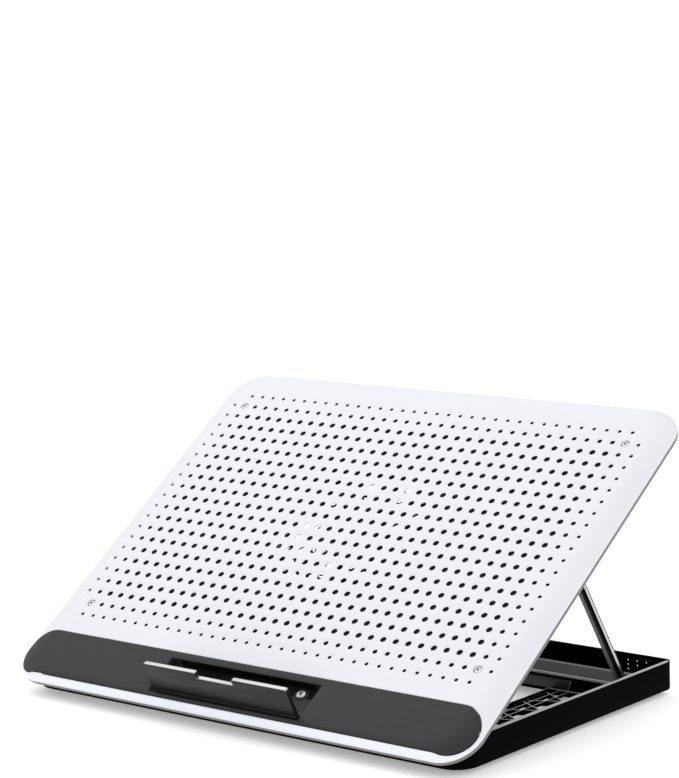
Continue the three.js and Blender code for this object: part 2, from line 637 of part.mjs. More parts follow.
function buildBase() {
  const wallLine = [
    [BASE_FRONT - CUT, BASE_BOTTOM - CUT],
    [BASE_REAR + CUT, BASE_BOTTOM - CUT],
    [BASE_REAR + CUT, WALL_TOP],
    [FRONT_SLOPE_END, WALL_TOP],
    [BASE_FRONT + WALL, FRONT_WALL_TOP],
    [BASE_FRONT - CUT, FRONT_WALL_TOP],
  ];
  const half = BASE_HALF_WIDTH;
  const trayOutline = (inset) =>
    roundedRect(
      -half + inset,
      BASE_FRONT + inset,
      half - inset,
      BASE_REAR - inset,
      BASE_FRONT_RADIUS - inset,
      6,
      BASE_REAR_RADIUS - inset,
    );
  const tub = trimmed(
    slab(trayOutline(0), BASE_BOTTOM, WALL_TOP),
    slab(trayOutline(WALL), FLOOR_TOP, WALL_TOP + CUT),
  ).intersect(profileAlongX(wallLine, -half - CUT, half + CUT));

  const inside = half - WALL + 0.5;
  const seat = profileAlongX(seatProfile(), -inside, inside);
  const stopBarLine = [
    [STOP_BAR_REAR - STOP_BAR_THICKNESS, FLOOR_TOP - SUNK],
    [STOP_BAR_REAR, FLOOR_TOP - SUNK],
    [STOP_BAR_REAR, FLOOR_TOP + TOOTH_HEIGHT],
    [STOP_BAR_REAR - STOP_BAR_THICKNESS, FLOOR_TOP + TOOTH_HEIGHT],
  ];
  const stopBar = profileAlongX(stopBarLine, -inside, inside);

  const [inner, outer] = KNUCKLE_X;
  const earFront = hingeY - HINGE_BARREL_R;
  const earRear = hingeY + HINGE_BARREL_R;
  const earSpans = [
    [inner - EAR_GAP - EAR_WIDTH, inner - EAR_GAP],
    [outer + EAR_GAP, outer + EAR_GAP + EAR_WIDTH],
  ];
  const ears = bothSides((side, sign) =>
    earSpans.map(([low, high]) =>
      joined(
        sidedBlock(sign, low, high, earFront, earRear, FLOOR_TOP - SUNK, hingeZ),
        sidedRod(sign, low, high, hingeY, hingeZ, HINGE_BARREL_R),
      ),
    ),
  ).flat();
  const earBores = bothSides((side, sign) =>
    sidedRod(sign, inner - EAR_WIDTH - CUT, outer + EAR_WIDTH + CUT, hingeY, hingeZ, HINGE_BORE_R, 16),
  );

  const opening = roundedSlab(
    -FLOOR_OPENING_HALF_WIDTH,
    FLOOR_OPENING_FRONT,
    FLOOR_OPENING_HALF_WIDTH,
    FLOOR_OPENING_REAR,
    6,
    0,
    FLOOR_TOP + CUT,
    3,
  );
  const sideSlots = bothSides((side, sign) =>
    [[128, 146], [150, 168]].map(([low, high]) => sidedBlock(sign, low, high, 52, 190, 0, FLOOR_TOP + CUT)),
  ).flat();
  const braces = bothSides((side, sign) =>
    [66, 92, 118, 144, 170].flatMap((y) =>
      [-1, 1].map((lean) => {
        const bar = new THREE.BoxGeometry(50, 2, FLOOR_TOP - BASE_BOTTOM).rotateZ(radians(28 * lean));
        return solid(bar.translate(sign * 148, y, (FLOOR_TOP + BASE_BOTTOM) / 2));
      }),
    ),
  ).flat();

  const floored = joined(trimmed(tub, opening, ...sideSlots), ...braces, seat, stopBar, ...ears);
  place(pad, "base_tray", trimmed(floored, ...earBores), BLACK_PLASTIC);

  bothSides((side, sign) => {
    const pin = sidedRod(sign, inner - EAR_WIDTH - 1, outer + EAR_WIDTH + 1, hingeY, hingeZ, HINGE_PIN_R, 16);
    place(pad, `hinge_pin_${side}`, pin, BRIGHT_STEEL);
    FOOT_Y.forEach((y, row) => {
      const foot = post(sign * FOOT_X, y, FOOT_RADIUS, 0, BASE_BOTTOM - GAP, 24);
      place(pad, `rubber_foot_${["front", "rear"][row]}_${side}`, foot, RUBBER);
    });
  });
}

// ---------------------------------------------------------------- assembly

buildBase();
buildPanel();
buildStrip();
buildStop();
buildPanelBrackets();
buildBail();
buildCover();
buildFan();
buildControls();

panel.position.set(0, 0, PANEL_EDGE_HEIGHT);
panel.rotation.x = radians(PANEL_TILT);
pad.add(panel);

// The origin is the centre of the bounding box's underside.
pad.updateMatrixWorld(true);
const extent = new THREE.Box3().setFromObject(pad, true);
const centre = extent.getCenter(new THREE.Vector3());
pad.position.set(-centre.x, -centre.y, -extent.min.z);

export default pad;
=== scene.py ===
# Looks of the laptop cooling pad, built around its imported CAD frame.
# Pieces are drawn in millimetres in a local frame (panel, bail, stop or row) and moved into
# the row's frame, in metres, when their mesh is made.

import json
import math

import bmesh
import bpy
from mathutils import Matrix, Vector


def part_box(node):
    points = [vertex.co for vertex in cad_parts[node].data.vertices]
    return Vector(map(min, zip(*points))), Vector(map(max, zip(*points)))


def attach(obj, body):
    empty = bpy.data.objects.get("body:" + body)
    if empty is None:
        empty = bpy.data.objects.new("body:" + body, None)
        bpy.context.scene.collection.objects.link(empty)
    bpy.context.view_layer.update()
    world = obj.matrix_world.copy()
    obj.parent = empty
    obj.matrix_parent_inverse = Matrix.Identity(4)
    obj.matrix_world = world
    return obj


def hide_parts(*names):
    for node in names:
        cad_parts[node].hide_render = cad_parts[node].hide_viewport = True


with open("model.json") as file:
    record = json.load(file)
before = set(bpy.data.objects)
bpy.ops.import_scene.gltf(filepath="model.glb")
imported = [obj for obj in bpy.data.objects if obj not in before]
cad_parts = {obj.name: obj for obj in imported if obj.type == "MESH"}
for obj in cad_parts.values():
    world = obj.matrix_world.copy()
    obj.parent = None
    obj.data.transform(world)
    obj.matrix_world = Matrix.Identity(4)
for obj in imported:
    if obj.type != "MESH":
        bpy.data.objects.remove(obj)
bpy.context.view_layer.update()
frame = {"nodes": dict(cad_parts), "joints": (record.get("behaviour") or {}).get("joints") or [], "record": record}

MM = 0.001
ROW = Matrix.Scale(MM, 4)
JOINTS = {joint["name"]: joint for joint in frame["joints"]}
MOUNTS = {mount["name"]: mount for mount in frame["record"]["mounts"]}


def degrees(angle):
    return math.radians(angle)


# ---------------------------------------------------------------- frames, from the CAD

NORMAL = Vector(MOUNTS["laptop_face"]["axis"]).normalized()
ACROSS = Vector((1, 0, 0))
UPHILL = NORMAL.cross(ACROSS)


def panel_frame():
    """The panel's frame: x across, y back from its front edge, z out of its top face."""
    points = [v.co for v in frame["nodes"]["top_panel"].data.vertices]
    front = min(p.dot(UPHILL) for p in points)
    top = max(p.dot(NORMAL) for p in points)
    origin = UPHILL * front + NORMAL * top
    axes = Matrix((ACROSS, UPHILL, NORMAL)).transposed().to_4x4()
    return Matrix.Translation(origin) @ axes @ ROW


def turned_frame(joint, angle):
    """A frame at a joint of the panel, turned from the panel's by an angle about x."""
    place = Matrix.Translation(PANEL.inverted() @ Vector(JOINTS[joint]["pos_m"]))
    return PANEL @ place @ Matrix.Rotation(degrees(angle), 4, "X")


STOP_LEAN = 10
BAIL_ANGLE = 2.7
PANEL = panel_frame()
STOP = turned_frame("stop_fold", -STOP_LEAN)
BAIL = turned_frame("bail_fold", -BAIL_ANGLE)

# ---------------------------------------------------------------- dimensions, millimetres

PANEL_HALF = 193
PANEL_LENGTH = 305
PLAN_RADIUS = 24
SIDE_ROLL = 18
END_ROLL = 6
SKIRT = 6.5
SHEET = 0.8
RIM_TOP, RIM_BOTTOM, RIM_WIDTH = 6.9, 9.5, 4

HOLE_COLUMNS, HOLE_ROWS = 36, 22
PITCH_X, PITCH_Y = 10, 10.526
FIRST_ROW = 58.05
HOLE_R = 2.2
SECOND_HOLE_R = 1.75
OUTER_HOLE_R = 1.35
SCREW_HOLE_R = 2.95
HOLE_LIP = 0.18

STRIP_HALF, STRIP_FRONT, STRIP_REAR = 191, 3.5, 40.9
STRIP_R = (STRIP_REAR - STRIP_FRONT) / 2
STRIP_MIDDLE = (STRIP_REAR + STRIP_FRONT) / 2
STRIP_GAP = 0.3
POCKET_HALF, POCKET_FRONT, POCKET_REAR, POCKET_DEPTH = 64, 6, 35.5, 6
STOP_SCREW_X, STOP_SCREW_Y = 47.7, 30
STOP_HALF, STOP_HEIGHT, STOP_THICKNESS = 61, 23.9, 3
NOTCH_HALF, NOTCH_DEPTH = 15.5, 4.3

BAIL_X, BAIL_LENGTH, BAIL_WIDTH, BAIL_THICKNESS = 169.5, 119.2, 7, 4

COVER_HALF, COVER_FRONT, COVER_REAR, COVER_RADIUS = 150, 47, 231, 10
COVER_TOP, COVER_BOTTOM, COVER_WALL = 3.1, 15.5, 1.8
FAN_Y = 168
INTAKE_R = 55
HUB_R = 19

# ---------------------------------------------------------------- camera and stage


def add_camera():
    camera = bpy.data.objects.new("camera", bpy.data.cameras.new("camera"))
    bpy.context.scene.collection.objects.link(camera)
    camera.data.lens = 119.4
    camera.data.clip_end = 100
    camera.location = (1.0798, -1.28735, 0.45206)
    camera.rotation_euler = (degrees(81.654), degrees(1.698), degrees(39.641))
    bpy.context.scene.camera = camera


def add_area_light(name, place, target, size, power, colour=(1, 1, 1)):
    light = bpy.data.objects.new(name, bpy.data.lights.new(name, "AREA"))
    light.data.size = size
    light.data.energy = power
    light.data.color = colour
    light.location = place
    light.rotation_euler = (Vector(target) - Vector(place)).to_track_quat("-Z", "Y").to_euler()
    bpy.context.scene.collection.objects.link(light)


FLOOR_GLOW = 0.3


def add_stage():
    world = bpy.data.worlds.new("studio")
    world.use_nodes = True
    background = world.node_tree.nodes["Background"]
    background.inputs["Color"].default_value = (1.0, 1.0, 1.0, 1)
    background.inputs["Strength"].default_value = 1.0
    bpy.context.scene.world = world
    bpy.context.scene.view_settings.view_transform = "Standard"
    add_area_light("key", (-1.2, 0.5, 1.9), (0, 0, 0.1), 1.6, 6)
    add_area_light("side_fill", (2.2, -0.4, 1.0), (0, 0, 0.1), 1.2, 3)
    add_area_light("front_fill", (-0.6, -1.8, 0.25), (0, 0, 0), 1.2, 5)

    bpy.ops.mesh.primitive_circle_add(vertices=96, radius=60, fill_type="NGON")
    floor = bpy.context.object
    floor.name = "floor"
    floor.data.materials.append(
        finish("pale_floor", (0.96, 0.96, 0.965), 0.8, specular=0.1, grain=300, bump=0.01, tint=0.01)
    )
    shader = floor.active_material.node_tree.nodes["Principled BSDF"]
    shader.inputs["Emission Color"].default_value = (1, 1, 1, 1)
    shader.inputs["Emission Strength"].default_value = FLOOR_GLOW


# ---------------------------------------------------------------- materials


def shader_setup(name, colour, roughness, metallic, specular, coat):
    made = bpy.data.materials.new(name)
    made.use_nodes = True
    nodes, links = made.node_tree.nodes, made.node_tree.links
    shader = nodes["Principled BSDF"]
    shader.inputs["Base Color"].default_value = (*colour, 1)
    shader.inputs["Roughness"].default_value = roughness
    shader.inputs["Metallic"].default_value = metallic
    shader.inputs["Specular IOR Level"].default_value = specular
    shader.inputs["Coat Weight"].default_value = coat
    shader.inputs["Coat Roughness"].default_value = 0.15
    place = nodes.new("ShaderNodeTexCoord")
    return made, nodes, links, shader, place


def noise(nodes, links, place, scale, stretch=(1, 1, 1), detail=4):
    """A noise pattern in the piece's own space; scale is in features per metre."""
    mapping = nodes.new("ShaderNodeMapping")
    mapping.inputs["Scale"].default_value = stretch
    links.new(place.outputs["Object"], mapping.inputs["Vector"])
    pattern = nodes.new("ShaderNodeTexNoise")
    pattern.inputs["Scale"].default_value = scale
    pattern.inputs["Detail"].default_value = detail
    links.new(mapping.outputs["Vector"], pattern.inputs["Vector"])
    return pattern


def vary_colour(nodes, links, shader, pattern, colour, spread):
    """The base colour goes from a little darker to a little lighter over a pattern."""
    ramp = nodes.new("ShaderNodeValToRGB")
    ramp.color_ramp.elements[0].position = 0.3
    ramp.color_ramp.elements[1].position = 0.7
    ramp.color_ramp.elements[0].color = (*[c * (1 - spread) for c in colour], 1)
    ramp.color_ramp.elements[1].color = (*[min(1, c * (1 + spread)) for c in colour], 1)
    links.new(pattern.outputs["Fac"], ramp.inputs["Fac"])
    links.new(ramp.outputs["Color"], shader.inputs["Base Color"])
    return ramp


def vary_roughness(nodes, links, shader, pattern, roughness, spread):
    span = nodes.new("ShaderNodeMapRange")
    span.inputs["To Min"].default_value = max(0.02, roughness - spread)
    span.inputs["To Max"].default_value = min(1, roughness + spread)
    links.new(pattern.outputs["Fac"], span.inputs["Value"])
    links.new(span.outputs["Result"], shader.inputs["Roughness"])


def add_bump(nodes, links, shader, pattern, strength, depth_mm):
    bump = nodes.new("ShaderNodeBump")
    bump.inputs["Strength"].default_value = strength
    bump.inputs["Distance"].default_value = depth_mm * MM
    links.new(pattern.outputs["Fac"], bump.inputs["Height"])
    links.new(bump.outputs["Normal"], shader.inputs["Normal"])


def finish(name, colour, roughness, metallic=0.0, specular=0.5, coat=0.0, grain=2000.0,
           stretch=(1, 1, 1), bump=0.1, depth=0.05, tint=0.04, wear=0.06, patch=18.0):
    """A surface with a fine grain in its bump and slow patches in its colour and roughness."""
    made, nodes, links, shader, place = shader_setup(
        name, colour, roughness, metallic, specular, coat
    )
    fine = noise(nodes, links, place, grain, stretch)
    broad = noise(nodes, links, place, patch, stretch)
    vary_colour(nodes, links, shader, broad, colour, tint)
    vary_roughness(nodes, links, shader, broad, roughness, wear)
    add_bump(nodes, links, shader, fine, bump, depth)
    return made


def brushed(name, colour, roughness, metallic):
    """Anodised metal with hair lines along x."""
    made, nodes, links, shader, place = shader_setup(name, colour, roughness, metallic, 0.3, 0)
    lines = noise(nodes, links, place, 60, stretch=(0.25, 28, 28), detail=6)
    vary_colour(nodes, links, shader, lines, colour, 0.28)
    vary_roughness(nodes, links, shader, lines, roughness, 0.1)
    add_bump(nodes, links, shader, lines, 0.25, 0.03)
    return made


def circuit_board():
    """Green solder mask over copper tracks and pads."""
    colour = (0.012, 0.09, 0.035)
    made, nodes, links, shader, place = shader_setup("circuit_board", colour, 0.35, 0, 0.5, 0.3)
    tracks = nodes.new("ShaderNodeTexBrick")
    tracks.inputs["Scale"].default_value = 260
    tracks.inputs["Mortar Size"].default_value = 0.06
    tracks.inputs["Color1"].default_value = (*colour, 1)
    tracks.inputs["Color2"].default_value = (*[c * 1.3 for c in colour], 1)
    tracks.inputs["Mortar"].default_value = (0.05, 0.22, 0.08, 1)
    links.new(place.outputs["Object"], tracks.inputs["Vector"])
    links.new(tracks.outputs["Color"], shader.inputs["Base Color"])
    add_bump(nodes, links, shader, noise(nodes, links, place, 1200), 0.15, 0.03)
    return made


def winding():
    """Turns of enamelled wire round each pole."""
    colour = (0.45, 0.17, 0.05)
    made, nodes, links, shader, place = shader_setup("copper_winding", colour, 0.3, 1, 0.5, 0.2)
    turns = nodes.new("ShaderNodeTexWave")
    turns.inputs["Scale"].default_value = 900
    turns.bands_direction = "Z"
    links.new(place.outputs["Object"], turns.inputs["Vector"])
    vary_colour(nodes, links, shader, turns, colour, 0.35)
    add_bump(nodes, links, shader, turns, 0.6, 0.15)
    return made


def make_materials():
    black = (0.0025, 0.0025, 0.003)
    return {
        "white_sheet": finish(
            "white_sheet", (0.70, 0.715, 0.76), 0.34, coat=0.15, grain=900, bump=0.05,
            depth=0.03, tint=0.012, wear=0.04,
        ),
        "grey_rim": finish("grey_rim", (0.17, 0.172, 0.18), 0.38, specular=0.3, grain=1500),
        "dark_strip": brushed("dark_strip", (0.018, 0.0185, 0.021), 0.5, 0.0),
        "stop_plate": brushed("stop_plate", (0.009, 0.009, 0.01), 0.4, 0.1),
        # bright metal for the pocket screws' heads, also used as a painted highlight on edges
        "bright_metal_and_painted_highlight": finish(
            "bright_metal_and_painted_highlight", (0.5, 0.5, 0.505), 0.26, metallic=0.9, grain=1500, bump=0.06
        ),
        "tray_plastic": finish(
            "tray_plastic", black, 0.3, specular=0.004, grain=1400, bump=0.06, wear=0.08,
            patch=9,
        ),
        # lighter grey painted as highlights on the tray's top edges and crests
        "tray_painted_highlight": finish(
            "tray_painted_highlight", (0.36, 0.36, 0.365), 0.28, specular=0.6, coat=0.3, grain=1400, bump=0.04
        ),
        # dark grey painted as light on faces that catch it and as a reflection
        "tray_painted_light": finish("tray_painted_light", (0.06, 0.06, 0.062), 0.35, specular=0.3, grain=1400),
        "cover_plastic": finish(
            "cover_plastic", (0.01, 0.01, 0.011), 0.55, specular=0.35, grain=2600, bump=0.35,
            depth=0.08,
        ),
        "fan_plastic": finish("fan_plastic", (0.008, 0.008, 0.009), 0.4, specular=0.4),
        # grey painted on the bail's front faces as their lit side
        "bail_painted_lit_side": finish(
            "bail_painted_lit_side", (0.2, 0.2, 0.203), 0.35, specular=0.4, grain=1100, bump=0.08
        ),
        "tray_inside": finish("tray_inside", black, 0.75, specular=0.0, grain=1400, bump=0.05),
        "black_steel": finish(
            "black_steel", (0.003, 0.003, 0.0035), 0.28, specular=0.1, grain=1100, bump=0.08
        ),
        "bright_steel": finish(
            "bright_steel", (0.62, 0.62, 0.63), 0.24, metallic=1, grain=1800, bump=0.08
        ),
        "bearing_brass": finish("bearing_brass", (0.5, 0.34, 0.13), 0.35, metallic=1),
        "foot_rubber": finish(
            "foot_rubber", (0.012, 0.012, 0.013), 0.85, specular=0.3, grain=1500, bump=0.4,
            depth=0.1,
        ),
        "copper_winding": winding(),
        "circuit_board": circuit_board(),
        "magnet": finish("magnet", (0.04, 0.04, 0.043), 0.7, metallic=0.3, bump=0.3),
        "switch_plastic": finish("switch_plastic", (0.03, 0.03, 0.033), 0.45),
        "lead_sleeve": finish("lead_sleeve", (0.3, 0.01, 0.008), 0.4, grain=900),
        # near black painted as shade inside recesses
        "painted_recess_shade": finish("painted_recess_shade", (0.004, 0.004, 0.0045), 0.7, specular=0.1),
        "gold_contact": finish("gold_contact", (0.75, 0.5, 0.18), 0.25, metallic=1),
    }


# ---------------------------------------------------------------- mesh tools


class Shape:
    """Faces collected in millimetres. A mark is the face's material in the piece's list."""

    def __init__(self):
        self.points, self.faces, self.marks = [], [], []

    def face(self, corners, mark=0):
        start = len(self.points)
        self.points.extend(tuple(c) for c in corners)
        self.faces.append(tuple(range(start, start + len(corners))))
        self.marks.append(mark)

    def loft(self, loops, mark=0, closed=True):
        """Quads between neighbouring loops of the same length."""
        for low, high in zip(loops, loops[1:]):
            count = len(low) if closed else len(low) - 1
            for i in range(count):
                j = (i + 1) % len(low)
                self.face((low[i], low[j], high[j], high[i]), mark)

    def solid(self, loops, marks=None):
        """Lofted loops with a face over each end. marks gives one mark for each band."""
        for i, pair in enumerate(zip(loops, loops[1:])):
            self.loft(pair, marks[i] if marks else 0)
        self.face(loops[0][::-1], marks[0] if marks else 0)
        self.face(loops[-1], marks[-1] if marks else 0)

    def box(self, low, high, mark=0):
        (x0, y0, z0), (x1, y1, z1) = low, high
        loops = [[(x0, y0, z), (x1, y0, z), (x1, y1, z), (x0, y1, z)] for z in (z0, z1)]
        self.solid(loops, [mark, mark])

    def prism(self, outline, low, high, along="x", mark=0):
        """A flat outline pushed between two values along an axis."""
        spread = {
            "x": lambda a, b, value: (value, a, b),
            "y": lambda a, b, value: (a, value, b),
            "z": lambda a, b, value: (a, b, value),
        }[along]
        self.solid([[spread(a, b, value) for a, b in outline] for value in (low, high)], [mark, mark])

    def lathe(self, profile, centre=(0, 0, 0), along="z", segments=48, mark=0, closed=False):
        """A profile of (radius, height) turned about an axis through centre."""
        loops = []
        for radius, height in profile + (profile[:1] if closed else []):
            loop = []
            for i in range(segments):
                turn = 2 * math.pi * i / segments
                a, b = radius * math.cos(turn), radius * math.sin(turn)
                offset = {"x": (height, a, b), "y": (b, height, a), "z": (a, b, height)}[along]
                loop.append(tuple(c + o for c, o in zip(centre, offset)))
            loops.append(loop)
        if closed:
            self.loft(loops, mark)
        else:
            self.solid(loops, [mark] * (len(loops) - 1))


def raw_object(name, shape, matrix, closed=True):
    """The shape as an object, its touching points merged and its faces turned outwards."""
    mesh = bpy.data.meshes.new(name)
    mesh.from_pydata(shape.points, [], shape.faces)
    mesh.polygons.foreach_set("material_index", shape.marks)
    build = bmesh.new()
    build.from_mesh(mesh)
    bmesh.ops.remove_doubles(build, verts=build.verts, dist=0.004)
    bmesh.ops.dissolve_degenerate(build, edges=build.edges, dist=0.002)
    bmesh.ops.recalc_face_normals(build, faces=build.faces)
    if closed and build.calc_volume(signed=True) < 0:
        bmesh.ops.reverse_faces(build, faces=build.faces)
    build.to_mesh(mesh)
    build.free()
    mesh.transform(matrix)
    made = bpy.data.objects.new(name, mesh)
    bpy.context.scene.collection.objects.link(made)
    return made


def apply_modifiers(piece):
    bpy.context.view_layer.update()
    graph = bpy.context.evaluated_depsgraph_get()
    mesh = bpy.data.meshes.new_from_object(piece.evaluated_get(graph))
    piece.modifiers.clear()
    piece.data = mesh


def carve(piece, tool):
    """Cuts a tool out of a piece and removes the tool."""
    modifier = piece.modifiers.new("cut", "BOOLEAN")
    modifier.operation = "DIFFERENCE"
    modifier.solver = "EXACT"
    modifier.object = tool
    apply_modifiers(piece)
    bpy.data.objects.remove(tool)


def bevel(piece, width, segments=2, angle=35):
    modifier = piece.modifiers.new("edges", "BEVEL")
    modifier.width = width * MM
    modifier.segments = segments
    modifier.limit_method = "ANGLE"
    modifier.angle_limit = degrees(angle)
    apply_modifiers(piece)


def dress(piece, body, finishes, replaces=(), sharp=35):
    """Shading, materials, body and the CAD nodes that the piece stands for."""
    marks = [face.material_index for face in piece.data.polygons]
    piece.data.materials.clear()
    for name in finishes:
        piece.data.materials.append(MATERIALS[name])
    piece.data.polygons.foreach_set("material_index", marks)
    piece.data.polygons.foreach_set("use_smooth", [True] * len(piece.data.polygons))
    piece.data.set_sharp_from_angle(angle=degrees(sharp))
    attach(piece, body)
    if replaces:
        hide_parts(*replaces)
    return piece


def piece_from(name, shape, matrix, body, finishes, replaces=(), edge=0.0, sharp=35):
    made = raw_object(name, shape, matrix)
    if edge:
        bevel(made, edge)
    return dress(made, body, finishes, replaces, sharp)


def arc(x, y, radius, first, last, steps):
    angles = [degrees(first + (last - first) * i / steps) for i in range(steps + 1)]
    return [(x + radius * math.cos(a), y + radius * math.sin(a)) for a in angles]


def rounded_rect(left, front, right, rear, radius, steps=8, rear_radius=None):
    """An outline, anticlockwise, with arcs at its corners."""
    back = radius if rear_radius is None else rear_radius
    return (
        arc(right - radius, front + radius, radius, -90, 0, steps)
        + arc(right - back, rear - back, back, 0, 90, steps)
        + arc(left + back, rear - back, back, 90, 180, steps)
        + arc(left + radius, front + radius, radius, 180, 270, steps)
    )


def level(outline, z):
    return [(x, y, z) for x, y in outline]


def find(test, low, high, steps=40):
    """Where test turns true between low and high."""
    for _ in range(steps):
        middle = (low + high) / 2
        if test(middle):
            high = middle
        else:
            low = middle
    return high


# ---------------------------------------------------------------- the panel's surface


def edge_share(x, y):
    """0 on the panel's flat, rising over the rolled edge to 1 on its outline."""
    along = min(y, PANEL_LENGTH - y)
    across = abs(x) - (PANEL_HALF - PLAN_RADIUS)
    back = PLAN_RADIUS - along
    if across > 0 and back > 0:
        angle, reach = math.atan2(back, across), math.hypot(across, back)
        side = math.cos(angle) / (PLAN_RADIUS - SIDE_ROLL)
        end = math.sin(angle) / (PLAN_RADIUS - END_ROLL)
        inner = 1 / math.hypot(side, end)
        share = (reach - inner) / (PLAN_RADIUS - inner)
    else:
        share = max((abs(x) - PANEL_HALF + SIDE_ROLL) / SIDE_ROLL, (END_ROLL - along) / END_ROLL)
    return min(1, max(0, share))


def on_panel(x, y, lift=0.0):
    """The point of the panel's outer surface over a place in its plan."""
    return (x, y, lift - SKIRT * (1 - math.sqrt(1 - edge_share(x, y) ** 2)))


def outside_panel(x, y):
    across = abs(x) - (PANEL_HALF - PLAN_RADIUS)
    back = abs(y - PANEL_LENGTH / 2) - (PANEL_LENGTH / 2 - PLAN_RADIUS)
    corner = math.hypot(max(across, 0), max(back, 0)) + min(max(across, back), 0)
    return corner > PLAN_RADIUS


def walk_out(start, direction, count, reach=None):
    """count + 1 points from start to the outline, evenly spaced in angle over the roll."""
    (x, y), (dx, dy) = start, direction
    if reach is None:
        reach = find(lambda t: outside_panel(x + dx * t, y + dy * t), 0, 2 * PANEL_HALF)
    first = math.asin(edge_share(x, y))
    flat = first < 0.01
    points = [start]
    for k in range(1, count + 1):
        share = (k - 1) / (count - 1) if flat else k / count
        goal = math.sin(first + (math.pi / 2 - first) * share)
        t = find(lambda t: edge_share(x + dx * t, y + dy * t) > max(goal, 1e-4) - 1e-9, 0, reach)
        points.append((x + dx * t, y + dy * t))
    points[-1] = (x + dx * reach, y + dy * reach)
    return points


# ---------------------------------------------------------------- perforated sheet

GRID_HALF = HOLE_COLUMNS * PITCH_X / 2
GRID_FRONT = FIRST_ROW - PITCH_Y / 2
GRID_REAR = GRID_FRONT + HOLE_ROWS * PITCH_Y
CELL_STEPS = 4
ROLL_STEPS = 9
SCREW_CELLS = [(1, 1), (34, 1), (34, 20), (1, 20)]
SCREW_PLACES = [((i - 17.5) * PITCH_X, FIRST_ROW + j * PITCH_Y) for i, j in SCREW_CELLS]


def hole_radius(column, row):
    """None where the sheet has no hole."""
    last_column, last_row = HOLE_COLUMNS - 1, HOLE_ROWS - 1
    ring = min(column, row, last_column - column, last_row - row)
    corner = column in (0, last_column) and row in (0, last_row)
    if corner or (column, row) == (0, 1):
        return None
    if (column, row) in SCREW_CELLS:
        return SCREW_HOLE_R
    return [OUTER_HOLE_R, SECOND_HOLE_R][ring] if ring < 2 else HOLE_R


def cell_border(left, front):
    """The edge of one cell, anticlockwise from its front left corner."""
    right, rear = left + PITCH_X, front + PITCH_Y
    corners = [(left, front), (right, front), (right, rear), (left, rear)]
    points = []
    for (x0, y0), (x1, y1) in zip(corners, corners[1:] + corners[:1]):
        for k in range(CELL_STEPS):
            t = k / CELL_STEPS
            points.append((x0 + (x1 - x0) * t, y0 + (y1 - y0) * t))
    return points


def add_cell(shape, column, row):
    left, front = -GRID_HALF + column * PITCH_X, GRID_FRONT + row * PITCH_Y
    middle = (left + PITCH_X / 2, front + PITCH_Y / 2)
    border = cell_border(left, front)
    radius = hole_radius(column, row)
    outer = [on_panel(*p) for p in border]
    if radius is None:
        for i in range(len(outer)):
            shape.face((outer[i], outer[(i + 1) % len(outer)], on_panel(*middle)))
        return
    turns = [-135 + 360 * i / len(border) for i in range(len(border))]
    rings = [
        [
            on_panel(middle[0] + r * math.cos(degrees(a)), middle[1] + r * math.sin(degrees(a)), lift)
            for a in turns
        ]
        for r, lift in ((radius + HOLE_LIP, 0), (radius, -HOLE_LIP / 2))
    ]
    shape.loft([outer, *rings])


def side_and_rear_band(shape):
    """The rolled edge from the hole grid to the outline, round the sides and the rear."""
    ys = [GRID_FRONT + PITCH_Y * k / CELL_STEPS for k in range(HOLE_ROWS * CELL_STEPS + 1)]
    xs = [GRID_HALF - PITCH_X * k / CELL_STEPS for k in range(HOLE_COLUMNS * CELL_STEPS + 1)]
    fan = [degrees(90 * k / 12) for k in range(13)]
    stations = [((GRID_HALF, y), (1, 0)) for y in ys]
    stations += [((GRID_HALF, GRID_REAR), (math.cos(a), math.sin(a))) for a in fan]
    stations += [((x, GRID_REAR), (0, 1)) for x in xs]
    stations += [((-GRID_HALF, GRID_REAR), (-math.sin(a), math.cos(a))) for a in fan]
    stations += [((-GRID_HALF, y), (-1, 0)) for y in reversed(ys)]
    rays = [[on_panel(*p) for p in walk_out(start, way, ROLL_STEPS)] for start, way in stations]
    shape.loft(rays, closed=False)


def front_border():
    """Plan points round the sheet's front part: along the first row of cells, then the outline."""
    right = walk_out((GRID_HALF, GRID_FRONT), (1, 0), ROLL_STEPS)
    cells = HOLE_COLUMNS * CELL_STEPS
    line = [(-GRID_HALF + PITCH_X * k / CELL_STEPS, GRID_FRONT) for k in range(1, cells)]
    inner = [(-x, y) for x, y in reversed(right)] + line + right
    side = [(PANEL_HALF, GRID_FRONT + (PLAN_RADIUS - GRID_FRONT) * k / 8) for k in range(1, 8)]
    corner = arc(PANEL_HALF - PLAN_RADIUS, PLAN_RADIUS, PLAN_RADIUS, 0, -90, 16)
    half_front = [((PANEL_HALF - PLAN_RADIUS) * (1 - k / 20), 0) for k in range(1, 21)]
    outline = side + corner + half_front
    outline += [(-x, y) for x, y in reversed(outline[:-1])]
    return inner, outline


def strip_edge(x, y, outset):
    """The point of the strip's outline nearest to a plan point, moved out by outset."""
    end = STRIP_HALF - STRIP_R
    centre = (min(end, max(-end, x)), STRIP_MIDDLE)
    dx, dy = x - centre[0], y - centre[1]
    scale = (STRIP_R + outset) / math.hypot(dx, dy)
    return (centre[0] + dx * scale, centre[1] + dy * scale)


def front_ring(shape):
    """The sheet round the dark strip, with a small lip where the strip is let in."""
    inner, outline = front_border()
    rays = []
    for i, target in enumerate(inner + outline):
        start = strip_edge(*target, STRIP_GAP + 0.4)
        dx, dy = target[0] - start[0], target[1] - start[1]
        if i < len(inner):
            walk = [(start[0] + dx * t / 10, start[1] + dy * t / 10) for t in range(11)]
        else:
            walk = walk_out(start, (dx, dy), 10, reach=1)
        walk[-1] = target
        lip = on_panel(*strip_edge(*target, STRIP_GAP), -0.3)
        rays.append([lip] + [on_panel(*p) for p in walk])
    shape.loft(rays + rays[:1], closed=False)


